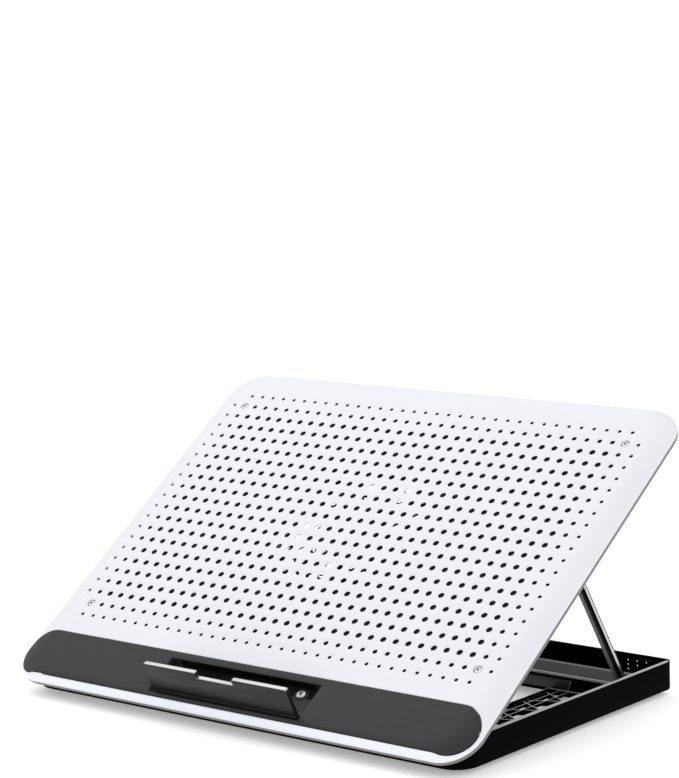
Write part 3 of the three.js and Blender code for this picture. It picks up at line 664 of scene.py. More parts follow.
def make_sheet():
    shape = Shape()
    for column in range(HOLE_COLUMNS):
        for row in range(HOLE_ROWS):
            add_cell(shape, column, row)
    side_and_rear_band(shape)
    front_ring(shape)
    sheet = raw_object("perforated_sheet", shape, PANEL, closed=False)
    top = max(sheet.data.polygons, key=lambda face: face.center.dot(NORMAL))
    if top.normal.dot(NORMAL) < 0:
        sheet.data.flip_normals()
    thick = sheet.modifiers.new("thickness", "SOLIDIFY")
    thick.thickness = SHEET * MM
    thick.offset = -1
    apply_modifiers(sheet)
    dress(sheet, "panel", ["white_sheet"], ["top_panel"], sharp=32)


# ---------------------------------------------------------------- rim and painted shadow gap


def ring_sweep(shape, left, front, right, rear, radius, section, marks=None):
    """A closed section of (inset, z) carried round a rounded rectangle."""
    loops = []
    for inset, z in section + section[:1]:
        outline = rounded_rect(
            left + inset, front + inset, right - inset, rear - inset, max(0.2, radius - inset), 12
        )
        loops.append(level(outline, z))
    for i, pair in enumerate(zip(loops, loops[1:])):
        shape.loft(pair, marks[i] if marks else 0)


def make_rim():
    """The grey frame under the sheet's edge, with a dark ring above it painted as the shadow in the gap."""
    shape = Shape()
    top, bottom, half = -RIM_TOP, -RIM_BOTTOM, PANEL_HALF - 0.3
    section = [(0.1, top), (0, top - 0.1), (0, bottom + 0.4), (0.12, bottom + 0.12), (0.4, bottom)]
    section += [(RIM_WIDTH, bottom), (RIM_WIDTH, top)]
    ring_sweep(shape, -half, 0.3, half, PANEL_LENGTH - 0.3, PLAN_RADIUS, section)
    piece_from("edge_frame", shape, PANEL, "panel", ["grey_rim"], ["under_rim"])

    # a thin dark ring between the sheet's skirt and the rim: painted shadow of the gap
    shadow = Shape()
    section = [(1.1, top + 0.7), (1.1, top - 0.2), (2.4, top - 0.2), (2.4, top + 0.7)]
    ring_sweep(shadow, -half, 0.3, half, PANEL_LENGTH - 0.3, PLAN_RADIUS, section)
    piece_from("painted_shadow_gap", shadow, PANEL, "panel", ["cover_plastic"])


# ---------------------------------------------------------------- strip, pocket and stop


def make_strip():
    """The dark strip, a hair proud of the sheet, open over the pocket."""
    end = STRIP_HALF - STRIP_R
    bow = [STRIP_R * math.sin(degrees(9 * k)) for k in range(1, 11)]
    straight = [POCKET_HALF + (end - POCKET_HALF) * k / 12 for k in range(13)]
    middle = [POCKET_HALF * k / 6 for k in range(-5, 6)]
    half = straight + [end + b for b in bow]
    columns = [-x for x in reversed(half)] + middle + half
    front_share = (POCKET_FRONT - STRIP_MIDDLE) / STRIP_R
    rear_share = (POCKET_REAR - STRIP_MIDDLE) / STRIP_R
    rows = [-1, -0.985, -0.96, -0.92, front_share, -0.7, -0.35, 0, 0.35, rear_share, 0.85, 0.985, 1]

    def spot(x, share):
        past = max(0, abs(x) - end)
        return on_panel(x, STRIP_MIDDLE + share * math.sqrt(max(0, STRIP_R**2 - past**2)), 0.12)

    shape = Shape()
    for x0, x1 in zip(columns, columns[1:]):
        for s0, s1 in zip(rows, rows[1:]):
            over_pocket = abs(x0 + x1) / 2 < POCKET_HALF and front_share <= s0 < rear_share
            if not over_pocket:
                shape.face([spot(x0, s0), spot(x1, s0), spot(x1, s1), spot(x0, s1)])
    strip = raw_object("strip_skin", shape, PANEL, closed=False)
    if sum(face.normal.dot(NORMAL) for face in strip.data.polygons) < 0:
        strip.data.flip_normals()
    thick = strip.modifiers.new("thickness", "SOLIDIFY")
    thick.thickness = 1.2 * MM
    thick.offset = -1
    apply_modifiers(strip)
    bevel(strip, 0.18, 2, 50)
    dress(strip, "panel", ["dark_strip"], ["front_strip"], sharp=40)


def make_pocket():
    """The recess that the stop folds into: a tub, with thin black plates at its rear painted as the shade of a
    deep slot.
    """
    wall, top = 1.3, -1.15
    shape = Shape()
    inner = rounded_rect(-POCKET_HALF, POCKET_FRONT, POCKET_HALF, POCKET_REAR, 2.5)
    outer = rounded_rect(
        -POCKET_HALF - wall, POCKET_FRONT - wall, POCKET_HALF + wall, POCKET_REAR + wall, 3.8
    )
    floor, under = -POCKET_DEPTH, -POCKET_DEPTH - wall
    shape.solid([level(inner, floor), level(inner, top), level(outer, top), level(outer, under)])
    piece_from("pocket_tub", shape, PANEL, "panel", ["dark_strip"], edge=0.15)

    # black plates on the floor's rear and on the rear wall: painted shade of a deep slot
    slot = Shape()
    half, rear, thin = 57.5, POCKET_REAR - 0.02, 0.12
    slot.box((-half, rear - 8, floor + 0.02), (half, rear, floor + thin))
    slot.box((-half, rear - thin, floor + 0.02), (half, rear, -0.5))
    piece_from("pocket_painted_slot_shade", slot, PANEL, "panel", ["painted_recess_shade"])

    bosses = Shape()
    for side in (-1, 1):
        x = side * STOP_SCREW_X
        bosses.lathe([(5.2, floor - 0.1), (5.2, floor + 0.15), (4.8, floor + 0.25)], (x, STOP_SCREW_Y, 0))
    piece_from("pocket_bosses", bosses, PANEL, "panel", ["cover_plastic"], edge=0.15)


def make_stop():
    """The flip-up plate: dark faces, a painted highlight on its upward top faces, a shallow notch and a coved
    foot.
    """
    half, thick = STOP_HALF, STOP_THICKNESS / 2
    floor = STOP_HEIGHT - NOTCH_DEPTH
    outline = [(-half, 3.0), (half, 3.0)]
    outline += arc(half - 1.6, STOP_HEIGHT - 1.6, 1.6, 0, 90, 5)
    outline += arc(NOTCH_HALF + 0.8, STOP_HEIGHT - 0.8, 0.8, 90, 180, 3)
    outline += [(NOTCH_HALF, floor), (-NOTCH_HALF, floor)]
    outline += arc(-NOTCH_HALF - 0.8, STOP_HEIGHT - 0.8, 0.8, 0, 90, 3)
    outline += arc(-half + 1.6, STOP_HEIGHT - 1.6, 1.6, 90, 180, 5)
    plate = Shape()
    plate.prism(outline, -thick, thick, "y")
    foot = [(-2.3, 0), (-2.0, -1.2), (0, -2.3), (2.0, -1.2), (2.3, 0), (1.7, 2.2), (thick, 3.1)]
    foot += [(-thick, 3.1), (-1.7, 2.2)]
    plate.prism(foot, -half, half, "x")
    stop = raw_object("stop_plate", plate, STOP)
    bevel(stop, 0.25, 2, 40)
    up = (STOP.to_3x3() @ Vector((0, 0, 1))).normalized()
    base = STOP.translation.dot(up)
    # the upward faces along the top get the silver material as a painted highlight
    for face in stop.data.polygons:
        high = face.center.dot(up) - base > (floor - 0.6) * MM
        face.material_index = 1 if high and face.normal.dot(up) > 0.5 else 0
    dress(stop, "stop", ["stop_plate", "bright_metal_and_painted_highlight"], ["laptop_stop"])

    pin = Shape()
    end = POCKET_HALF + 1
    pin.lathe([(0.5, -end), (0.9, -end + 0.4), (0.9, end - 0.4), (0.5, end)], along="x", segments=24)
    piece_from("stop_hinge_pin", pin, STOP, "panel", ["bright_steel"], ["stop_pin"])


# ---------------------------------------------------------------- screws


def screw(name, x, y, z, radius, height, matrix, body, finishes, nodes, turn=20.0, facing=1):
    """A pan head with a cross recess. finishes are the head's and the dark one painted as shade in the recess."""
    head = Shape()
    profile = [(radius, 0), (radius, 0.42 * height), (0.9 * radius, 0.78 * height)]
    profile += [(0.62 * radius, 0.97 * height), (0.2 * radius, height)]
    head.lathe([(r, facing * h) for r, h in profile], segments=32)
    made = raw_object(name, head, Matrix.Identity(4))
    deep, arm, width = 0.55 * height, 0.56 * radius, 0.13 * radius
    for a, b in ((arm, width), (width, arm)):
        tool = Shape()
        low, high = sorted((facing * (height - deep), facing * (height + 1)))
        tool.box((-a, -b, low), (a, b, high))
        carve(made, raw_object("tool", tool, Matrix.Identity(4)))
    # faces down in the cross get the dark material: painted shade in the recess
    for face in made.data.polygons:
        centre = face.center
        inside = math.hypot(centre.x, centre.y) < 0.6 * radius
        face.material_index = 1 if inside and abs(centre.z) < 0.93 * height else 0
    made.data.transform(
        matrix @ Matrix.Translation((x, y, z)) @ Matrix.Rotation(degrees(turn), 4, "Z")
    )
    dress(made, body, finishes, nodes, sharp=30)


def make_screws():
    corners = {
        "front_left": SCREW_PLACES[0],
        "front_right": SCREW_PLACES[1],
        "rear_right": SCREW_PLACES[2],
        "rear_left": SCREW_PLACES[3],
    }
    for i, (corner, (x, y)) in enumerate(corners.items()):
        screw(
            f"sheet_screw_{corner}", x, y, -0.95, 2.5, 1.05, PANEL, "panel",
            ["white_sheet", "painted_recess_shade"], [f"panel_screw_{corner}"], 15 + 25 * i,
        )
    for side, sign in (("left", -1), ("right", 1)):
        screw(
            f"pocket_screw_{side}", sign * STOP_SCREW_X, STOP_SCREW_Y, -POCKET_DEPTH + 0.25, 3.4, 0.95,
            PANEL, "panel", ["bright_metal_and_painted_highlight", "painted_recess_shade"], [f"stop_screw_{side}"], 30 * sign,
        )
    places = [(x, y) for x in (-140, 140) for y in (COVER_FRONT + 10, COVER_REAR - 10)]
    for i, (x, y) in enumerate(places):
        screw(
            f"case_screw_{i + 1}", x, y, -COVER_BOTTOM + 0.1, 3, 1.7, PANEL, "panel",
            ["bright_steel", "painted_recess_shade"], [f"cover_screw_{i + 1}"], 40 * i, facing=-1,
        )
    for i, angle in enumerate((30, 150, 210, 330)):
        x, y = 64 * math.cos(degrees(angle)), FAN_Y + 64 * math.sin(degrees(angle))
        screw(
            f"fan_fixing_{i + 1}", x, y, -10.6, 2.8, 1.6, PANEL, "panel",
            ["bright_steel", "painted_recess_shade"], [f"fan_screw_{i + 1}"], 25 * i,
        )


# ---------------------------------------------------------------- bail and brackets


def capsule(half_width, low, high, steps=10):
    """An outline in (y, z) with round ends centred on low and high."""
    return arc(0, high, half_width, 0, 180, steps) + arc(0, low, half_width, 180, 360, steps)


def make_bail():
    """A U of channel-section legs and a round foot bar; each leg has a painted highlight on its rear lip and
    lighter grey painted on its front faces as their lit side.
    """
    half, front_lip, rear_lip, groove = BAIL_WIDTH / 2, 0.8, 3.2, 1.2
    floor_half, shift = half - (front_lip + rear_lip) / 2, (front_lip - rear_lip) / 2
    shape = Shape()
    for sign in (-1, 1):
        inner_x, outer_x = sign * (BAIL_X - BAIL_THICKNESS / 2), sign * (BAIL_X + BAIL_THICKNESS / 2)

        def loop(x, reach, offset=0):
            return [(x, y + offset, z) for y, z in capsule(reach, -BAIL_LENGTH, 0)]

        loops = [loop(inner_x, half - 0.5), loop(inner_x + sign * 0.5, half)]
        loops += [loop(outer_x - sign * 0.5, half), loop(outer_x, half - 0.5)]
        loops += [loop(outer_x, half - 1.3), loop(outer_x, floor_half, shift)]
        loops += [loop(outer_x - sign * groove, floor_half - 0.25, shift)]
        shape.solid(loops, [0, 2, 0, 0, 1, 0])
    shape.lathe(
        [(2.75, -BAIL_X + 1), (2.75, BAIL_X - 1)], (0, 0, -BAIL_LENGTH), along="x", segments=32
    )
    bail = raw_object("bail_frame", shape, BAIL)
    # the rear lip keeps the silver as a painted highlight and the front faces keep the grey painted as their lit
    # side; the other halves turn black
    local = BAIL.inverted()
    for face in bail.data.polygons:
        behind = (local @ face.center).y > 0
        if (face.material_index == 1) != behind and face.material_index:
            face.material_index = 0
    dress(bail, "bail", ["black_steel", "bright_metal_and_painted_highlight", "bail_painted_lit_side"], ["support_bail"])

    for side, sign in (("left", -1), ("right", 1)):
        pin = Shape()
        face = BAIL_X + BAIL_THICKNESS / 2
        profile = [(2.0, face - 10), (2.0, face - 0.1), (2.9, face), (2.9, face + 0.4)]
        profile += [(2.2, face + 0.9), (0.6, face + 1.1)]
        pin.lathe([(r, sign * x) for r, x in profile], along="x", segments=32)
        piece_from(f"bail_rivet_{side}", pin, BAIL, "bail", ["bright_steel"], [f"bail_pin_{side}"])


def make_brackets():
    hinge = PANEL.inverted() @ Vector(JOINTS["panel_tilt"]["pos_m"])
    pivot = PANEL.inverted() @ Vector(JOINTS["bail_fold"]["pos_m"])
    top, plate = -3.0, 1.5
    for side, sign in (("left", -1), ("right", 1)):
        shape = Shape()
        low, high = sorted((sign * 150.4, sign * 161.6))
        barrel = arc(hinge.y, hinge.z, 4.5, -200, 20, 20)
        outline = barrel + [(hinge.y + 4.5, top - plate), (hinge.y + 19, top - plate)]
        outline += [(hinge.y + 19, top), (hinge.y - 4.5, top)]
        shape.prism(outline, low, high, "x")
        ears = (low - 8, hinge.y - 4.5, top - plate), (high + 8, hinge.y + 19, top)
        shape.box(*ears)
        piece_from(
            f"hinge_leaf_{side}", shape, PANEL, "panel", ["black_steel"], [f"panel_hinge_{side}"],
            edge=0.3,
        )
        lug = Shape()
        low, high = sorted((sign * 160.0, sign * 167.0))
        outline = arc(pivot.y, pivot.z, 4.2, -170, -10, 14) + [(pivot.y + 9, top), (pivot.y - 9, top)]
        lug.prism(outline, low, high, "x")
        piece_from(
            f"bail_lug_{side}", lug, PANEL, "panel", ["cover_plastic"], [f"bail_bracket_{side}"],
            edge=0.4,
        )


# ---------------------------------------------------------------- cover, fan and controls


def to_outline(angle, outline):
    """Where a ray from the fan's centre meets a closed outline."""
    dx, dy = math.cos(angle), math.sin(angle)
    for (x0, y0), (x1, y1) in zip(outline, outline[1:] + outline[:1]):
        ex, ey = x1 - x0, y1 - y0
        bottom = dx * ey - dy * ex
        if abs(bottom) < 1e-9:
            continue
        px, py = x0, y0 - FAN_Y
        t = (px * ey - py * ex) / bottom
        s = (px * dy - py * dx) / bottom
        if t > 0 and -1e-9 <= s <= 1 + 1e-9:
            return (dx * t, FAN_Y + dy * t)
    raise ValueError("the ray misses the outline")


def cover_angles():
    """Directions from the fan's centre: even steps, with every corner's arc added."""
    outline = cover_outline(0)
    angles = [math.atan2(y - FAN_Y, x) for x, y in outline]
    angles += [degrees(5 * k - 180) for k in range(72)]
    kept = []
    for angle in sorted(angles):
        if not kept or angle - kept[-1] > 0.006:
            kept.append(angle)
    return kept


def cover_outline(inset):
    return rounded_rect(
        -COVER_HALF + inset, COVER_FRONT + inset, COVER_HALF - inset, COVER_REAR - inset,
        COVER_RADIUS - inset, 6,
    )


def make_cover():
    """The case under the fan: rolled edges and a round intake."""
    angles = cover_angles()

    def round_loop(radius, z):
        return [(radius * math.cos(a), FAN_Y + radius * math.sin(a), z) for a in angles]

    def wall_loop(inset, z):
        outline = cover_outline(inset)
        return [(*to_outline(a, outline), z) for a in angles]

    bottom, top, wall = -COVER_BOTTOM, -COVER_TOP, COVER_WALL
    loops = [
        wall_loop(wall, top),
        wall_loop(0, top),
        wall_loop(0, bottom + 2.4),
        wall_loop(0.7, bottom + 0.7),
        wall_loop(2.4, bottom),
        round_loop(INTAKE_R + 3, bottom),
        round_loop(INTAKE_R + 1, bottom + 0.35),
        round_loop(INTAKE_R, bottom + 1.2),
        round_loop(INTAKE_R, bottom + wall),
        wall_loop(wall + 1.2, bottom + wall),
        wall_loop(wall, bottom + wall + 1.2),
        wall_loop(wall, top),
    ]
    shape = Shape()
    shape.loft(loops)
    cover = raw_object("fan_case", shape, PANEL)
    windows = [(x, 7, -11.6, -4.6) for x in (62, 82)]
    windows += [(106, 9, -10, -5.6), (128, 3.4, -10, -6)]
    for x, half, low, high in windows:
        tool = Shape()
        tool.box((x - half, COVER_REAR - 4, low), (x + half, COVER_REAR + 2, high))
        carve(cover, raw_object("tool", tool, PANEL))
    dress(cover, "panel", ["cover_plastic"], ["lower_cover"], sharp=30)

    grille = Shape()
    low, high = bottom + 0.2, bottom + wall - 0.2
    for radius in (HUB_R + 3, 31, 38.5, 46):
        section = [(radius - 1.1, low + 0.3), (radius - 0.8, low), (radius + 0.8, low)]
        section += [(radius + 1.1, low + 0.3), (radius + 1.1, high), (radius - 1.1, high)]
        grille.lathe(section, (0, FAN_Y, 0), segments=72, closed=True)
    grille.lathe([(HUB_R + 2, low), (HUB_R + 2, high)], (0, FAN_Y, 0), segments=48)
    piece_from("intake_rings", grille, PANEL, "panel", ["cover_plastic"])
    for i in range(8):
        spoke = Shape()
        spoke.box((HUB_R + 1, -1.2, low + 0.1), (INTAKE_R + 0.6, 1.2, high - 0.1))
        turned = PANEL @ Matrix.Translation((0, FAN_Y, 0)) @ Matrix.Rotation(degrees(45 * i), 4, "Z")
        piece_from(f"intake_spoke_{i + 1}", spoke, turned, "panel", ["cover_plastic"], edge=0.3)


def blade_loops(index, count):
    """Sections of one blade from hub to tip, thin, curved and flatter towards the tip."""
    loops = []
    for k in range(9):
        reach = k / 8
        radius = HUB_R - 1 + (56 - HUB_R + 1) * reach
        sweep = degrees(360 * index / count + 16 * reach * reach)
        pitch = degrees(40 - 16 * reach)
        chord = 12 + 9 * reach
        loop = []
        for share, side in [(s / 8, 1) for s in range(9)] + [(s / 8, -1) for s in range(8, -1, -1)]:
            along = (share - 0.5) * chord
            camber = 1.5 * (1 - (2 * share - 1) ** 2)
            thick = 0.6 * math.sin(math.pi * min(0.97, max(0.03, share))) + 0.12
            a = along * math.cos(pitch)
            z = -7.5 + 0.62 * along * math.sin(pitch) + camber * 0.5 + side * thick
            turn = sweep + a / radius
            loop.append((radius * math.cos(turn), FAN_Y + radius * math.sin(turn), z))
        loops.append(loop)
    return loops


def make_fan():
    count = 9
    shape = Shape()
    hub = [(17.5, -11), (HUB_R, -10.8), (HUB_R, -4.6), (18.3, -3.9), (17, -3.6), (6, -3.6)]
    hub += [(5.2, -3.9), (0.4, -3.9), (0.4, -4.9), (16.9, -4.9), (17.5, -5.5)]
    shape.lathe(hub, (0, FAN_Y, 0), segments=64, closed=True)
    for index in range(count):
        shape.solid(blade_loops(index, count))
    piece_from("fan_rotor", shape, PANEL, "rotor", ["fan_plastic"], ["impeller"], sharp=40)

    frame_ring = Shape()
    section = [(57.5, -13.2), (60.5, -13.2), (60.5, -4), (60, -3.5), (58.2, -3.5), (57.5, -4.4)]
    frame_ring.lathe(section, (0, FAN_Y, 0), segments=96, closed=True)
    frame_ring.lathe(
        [(4.3, -13.2), (HUB_R, -13.2), (HUB_R, -12.2), (18.6, -11.8), (4.3, -11.8)],
        (0, FAN_Y, 0), segments=64, closed=True,
    )
    piece_from("fan_body", frame_ring, PANEL, "panel", ["fan_plastic"], ["fan_frame"])
    for i in range(4):
        strut = Shape()
        strut.prism([(-2.5, -13.2), (2.5, -13.2), (1.6, -11.8), (-1.6, -11.8)], 18, 58.5, "x")
        turned = PANEL @ Matrix.Translation((0, FAN_Y, 0)) @ Matrix.Rotation(degrees(45 + 90 * i), 4, "Z")
        piece_from(f"fan_strut_{i + 1}", strut, turned, "panel", ["fan_plastic"], edge=0.25)
    for i, angle in enumerate((30, 150, 210, 330)):
        ear = Shape()
        x, y = 64 * math.cos(degrees(angle)), FAN_Y + 64 * math.sin(degrees(angle))
        ear.lathe([(4.5, -13.2), (4.5, -11), (4.2, -10.7), (1.4, -10.7)], (x, y, 0), segments=32)
        piece_from(f"fan_ear_{i + 1}", ear, PANEL, "panel", ["fan_plastic"])


def make_controls():
    for i, x in enumerate((62, 82)):
        socket = Shape()
        rear, floor, top = COVER_REAR, -11.3, -4.9
        outer = rounded_rect(x - 6.7, floor, x + 6.7, top, 0.9, 4)
        inner = rounded_rect(x - 6.1, floor + 0.6, x + 6.1, top - 0.6, 0.5, 4)

        def loop(outline, y):
            return [(a, y, b) for a, b in outline]

        socket.solid([loop(outer, 215), loop(outer, rear), loop(inner, rear), loop(inner, 217)])
        piece_from(
            f"usb_shell_{i + 1}", socket, PANEL, "panel", ["bright_steel"], [f"usb_socket_{i + 1}"]
        )
        tongue = Shape()
        tongue.box((x - 5.2, 216.5, -8.9), (x + 5.2, rear - 1.5, -7.0))
        piece_from(f"usb_tongue_{i + 1}", tongue, PANEL, "panel", ["switch_plastic"], edge=0.2)
        contacts = Shape()
        for k in range(4):
            middle = x - 3.6 + 2.4 * k
            contacts.box((middle - 0.5, 218, -9.0), (middle + 0.5, rear - 2.2, -8.88))
        piece_from(f"usb_contacts_{i + 1}", contacts, PANEL, "panel", ["gold_contact"])

    wheel = Shape()
    centre = PANEL.inverted() @ Vector(JOINTS["speed_turn"]["pos_m"])
    ridges = 40
    outline = []
    for k in range(ridges):
        for offset, radius in ((0, 9), (0.35, 9), (0.55, 8.5), (0.85, 8.5)):
            a = 2 * math.pi * (k + offset) / ridges
            outline.append((radius * math.cos(a), radius * math.sin(a)))
    cx, cy = centre.x, centre.y
    loops = []
    for scale, z in ((0.2, -9), (0.94, -9), (1, -8.6), (1, -6.6), (0.94, -6.2), (0.2, -6.2)):
        loops.append([(cx + px * scale, cy + py * scale, z) for px, py in outline])
    wheel.loft(loops + loops[:1])
    piece_from("speed_roller", wheel, PANEL, "dial", ["cover_plastic"], ["speed_wheel"], sharp=25)

    button = Shape()
    outline = rounded_rect(125, -9.6, 131, -6.4, 1.2, 5)
    squeezed = rounded_rect(125.5, -9.1, 130.5, -6.9, 0.8, 5)
    rear = COVER_REAR + 1.6
    button.solid(
        [
            [(a, COVER_REAR - 5, b) for a, b in outline],
            [(a, rear - 0.6, b) for a, b in outline],
            [(a, rear - 0.15, b) for a, b in rounded_rect(125.2, -9.4, 130.8, -6.6, 1.0, 5)],
            [(a, rear, b) for a, b in squeezed],
        ]
    )
    button.box((123.6, COVER_REAR - 5, -9.6), (132.4, COVER_REAR - 3.2, -6.4))
    piece_from("light_key", button, PANEL, "button", ["cover_plastic"], ["light_button"])


# ---------------------------------------------------------------- tray

TRAY_LOW, TRAY_HIGH = [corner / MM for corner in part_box("base_tray")]
WALL, TRAY_FRONT_RADIUS, TRAY_REAR_RADIUS, FLOOR_RISE = 2.5, 16, 5, 2
TRAY_TOP = 23
FRONT_TOP, SLOPE_START, SLOPE_END = 9.5, 2.5, 14
OPENING_HALF, OPENING_FRONT, OPENING_REAR = 122, 30, 182
SLOTS, SLOT_FRONT, SLOT_REAR = ((128, 146), (150, 168)), 37, 175
SEAT_FOOT, SEAT_RUN, SEAT_HEIGHT, SEAT_CREST = 195.8, 15.94, 10, 2.2
BAR_FRONT, BAR_REAR, BAR_BEAD = 183, 185.9, 1.1
# size of the thin grey sheet on the bar's front, a painted reflection
BAR_REFLECTION_HALF, BAR_REFLECTION_HEIGHT, BAR_REFLECTION_THICKNESS = 133, 7.2, 0.8
RAIL_PLACES = (121.2, 131, 138, 146.6, 154, 161, 168.6)
RAIL_WIDTH, RAIL_HEIGHT = 0.9, 2
BRACE_PLACES = (51, 77, 103, 129, 155)
BRACE_REACH = 23
BRACE_LEAN = degrees(28)
VENTS = {134.4: (2,), 141.7: (1, 2), 149: (0, 1, 2), 156.2: (0, 1), 163.4: (0,)}
VENT_TOP, VENT_PITCH, VENT_RADIUS, VENT_FLARE = 18.3, 3, 1, 1.35
DASH_INNER, DASH_OUTER, DASH_LOW, DASH_HIGH = 156.5, 169, 20.1, 20.6



def wall_top(y):
    """Height of the tray's wall at a distance back from its front face."""
    share = min(1, max(0, (y - SLOPE_START) / (SLOPE_END - SLOPE_START)))
    return FRONT_TOP + (TRAY_TOP - FRONT_TOP) * share


def tray_outline(inset):
    """Dense outline of the tray in plan, moved in by inset."""
    half, front, rear = TRAY_HIGH.x - inset, TRAY_LOW.y + inset, TRAY_HIGH.y - inset
    radius, back = TRAY_FRONT_RADIUS - inset, TRAY_REAR_RADIUS - inset
    corners = rounded_rect(-half, front, half, rear, radius, 12, back)
    points = []
    for (x0, y0), (x1, y1) in zip(corners, corners[1:] + corners[:1]):
        steps = 40 if abs(y1 - y0) > 60 else 1
        points += [(x0 + (x1 - x0) * k / steps, y0 + (y1 - y0) * k / steps) for k in range(steps)]
    return points


def make_tray_wall():
    low = TRAY_LOW.z
    reference = [y - TRAY_LOW.y for _, y in tray_outline(WALL / 2)]
    # each entry is (inset, height above the underside) or (inset, drop below the wall's top)
    below = [(WALL, FLOOR_RISE), (WALL, 0.2), (1.6, 0), (0.6, 0.35), (0, 1.4)]
    above = [(0, 0.55), (0.18, 0.18), (0.55, 0), (WALL - 0.55, 0), (WALL - 0.18, 0.18), (WALL, 0.55)]
    loops = [level(tray_outline(inset), low + height) for inset, height in below]
    loops += [
        [(x, y, wall_top(back) - drop) for (x, y), back in zip(tray_outline(inset), reference)]
        for inset, drop in above
    ]
    loops.append(loops[0])
    shape = Shape()
    for i, pair in enumerate(zip(loops, loops[1:])):
        # the lip bands get the lighter grey: a painted highlight along the wall's top
        lip = len(below) <= i < len(loops) - 2
        shape.loft(pair, 1 if lip else 0)
    wall = raw_object("tray_wall", shape, ROW)
    rear = TRAY_HIGH.y
    # the rear wall's lip keeps no painted highlight and stays black
    for face in wall.data.polygons:
        if face.material_index and face.center.y > (rear - 2 * WALL) * MM:
            face.material_index = 0
    tools = Shape()
    for side in (-1, 1):
        for x, rows in VENTS.items():
            for row in rows:
                profile = [(VENT_RADIUS, rear - WALL - 1), (VENT_RADIUS, rear - WALL + 0.4)]
                profile += [(VENT_FLARE * VENT_RADIUS, rear + 1)]
                height = VENT_TOP - VENT_PITCH * row
                tools.lathe(profile, (side * x, 0, height), along="y", segments=16)
        a, b = sorted((side * DASH_INNER, side * DASH_OUTER))
        tools.box((a, rear - WALL - 1, DASH_LOW), (b, rear + 1, DASH_HIGH))
    carve(wall, raw_object("tool", tools, ROW))
    dress(wall, "base", ["tray_plastic", "tray_painted_highlight"], ["base_tray"], sharp=35)


def make_tray_floor():
    """Floor plate with a central opening, slotted sides and X braces."""
    bottom, top = TRAY_LOW.z, TRAY_LOW.z + FLOOR_RISE
    front = TRAY_LOW.y
    plate = Shape()
    inner = rounded_rect(
        TRAY_LOW.x + WALL, front + WALL, TRAY_HIGH.x - WALL, TRAY_HIGH.y - WALL,
        TRAY_FRONT_RADIUS - WALL, 10, TRAY_REAR_RADIUS - WALL,
    )
    plate.prism(inner, bottom, top, "z")
    floor = raw_object("tray_floor", plate, ROW)
    cut = Shape()
    opening = rounded_rect(
        -OPENING_HALF, front + OPENING_FRONT, OPENING_HALF, front + OPENING_REAR, 6, 6
    )
    cut.prism(opening, bottom - 2, top + 2, "z")
    for near, far in SLOTS:
        for low, high in ((near, far), (-far, -near)):
            cut.box((low, front + SLOT_FRONT, bottom - 2), (high, front + SLOT_REAR, top + 2))
    carve(floor, raw_object("tool", cut, ROW))
    bevel(floor, 0.3, 2, 50)
    dress(floor, "base", ["tray_inside"])

    rails = Shape()
    for side in (-1, 1):
        for x in RAIL_PLACES:
            a, b = sorted((side * x, side * (x + RAIL_WIDTH)))
            end = BAR_FRONT if x < OPENING_HALF else SLOT_REAR + 1.5
            rails.box((a, front + OPENING_FRONT, top - 0.2), (b, front + end, top + RAIL_HEIGHT))
        a, b = sorted((side * RAIL_PLACES[0], side * (RAIL_PLACES[-1] + RAIL_WIDTH)))
        rails.box((a, front + SLOT_REAR, top - 0.2), (b, front + SLOT_REAR + 1.5, top + RAIL_HEIGHT))
    rails = raw_object("floor_rails", rails, ROW)
    bevel(rails, 0.3)
    # top faces of the rails get the lighter grey: a painted highlight
    for face in rails.data.polygons:
        face.material_index = 1 if face.normal.z > 0.6 else 0
    dress(rails, "base", ["tray_inside", "tray_painted_highlight"])
    reach, lean = BRACE_REACH * math.cos(BRACE_LEAN), BRACE_REACH * math.sin(BRACE_LEAN)
    for side in (-1, 1):
        braces = Shape()
        for y in BRACE_PLACES:
            for rise in (-lean, lean):
                x, half = side * 148, 0.45
                outline = [(x - reach, front + y - rise - half), (x + reach, front + y + rise - half)]
                outline += [(x + reach, front + y + rise + half), (x - reach, front + y - rise + half)]
                height = top + RAIL_HEIGHT - (0.35 if rise > 0 else 0.2)
                braces.prism(outline, bottom + 0.1, height, "z")
        name = "left" if side < 0 else "right"
        braces = raw_object(f"floor_braces_{name}", braces, ROW)
        # top faces of the braces get the lighter grey: a painted highlight
        for face in braces.data.polygons:
            face.material_index = 1 if face.normal.z > 0.6 else 0
        dress(braces, "base", ["tray_inside", "tray_painted_highlight"])


def crest_outline(foot, crest, rear, floor, top):
    """Section of a bar whose front runs from its foot up to a rounded crest."""
    outline = [(foot, floor), (rear, floor), (rear, top - 0.5), (rear - 0.5, top)]
    bead = 0.8
    slope = (top - floor) / (crest - foot)
    return outline + [(crest + 0.3, top), (crest, top - 0.3), (crest - bead, top - 0.3 - bead * slope)]


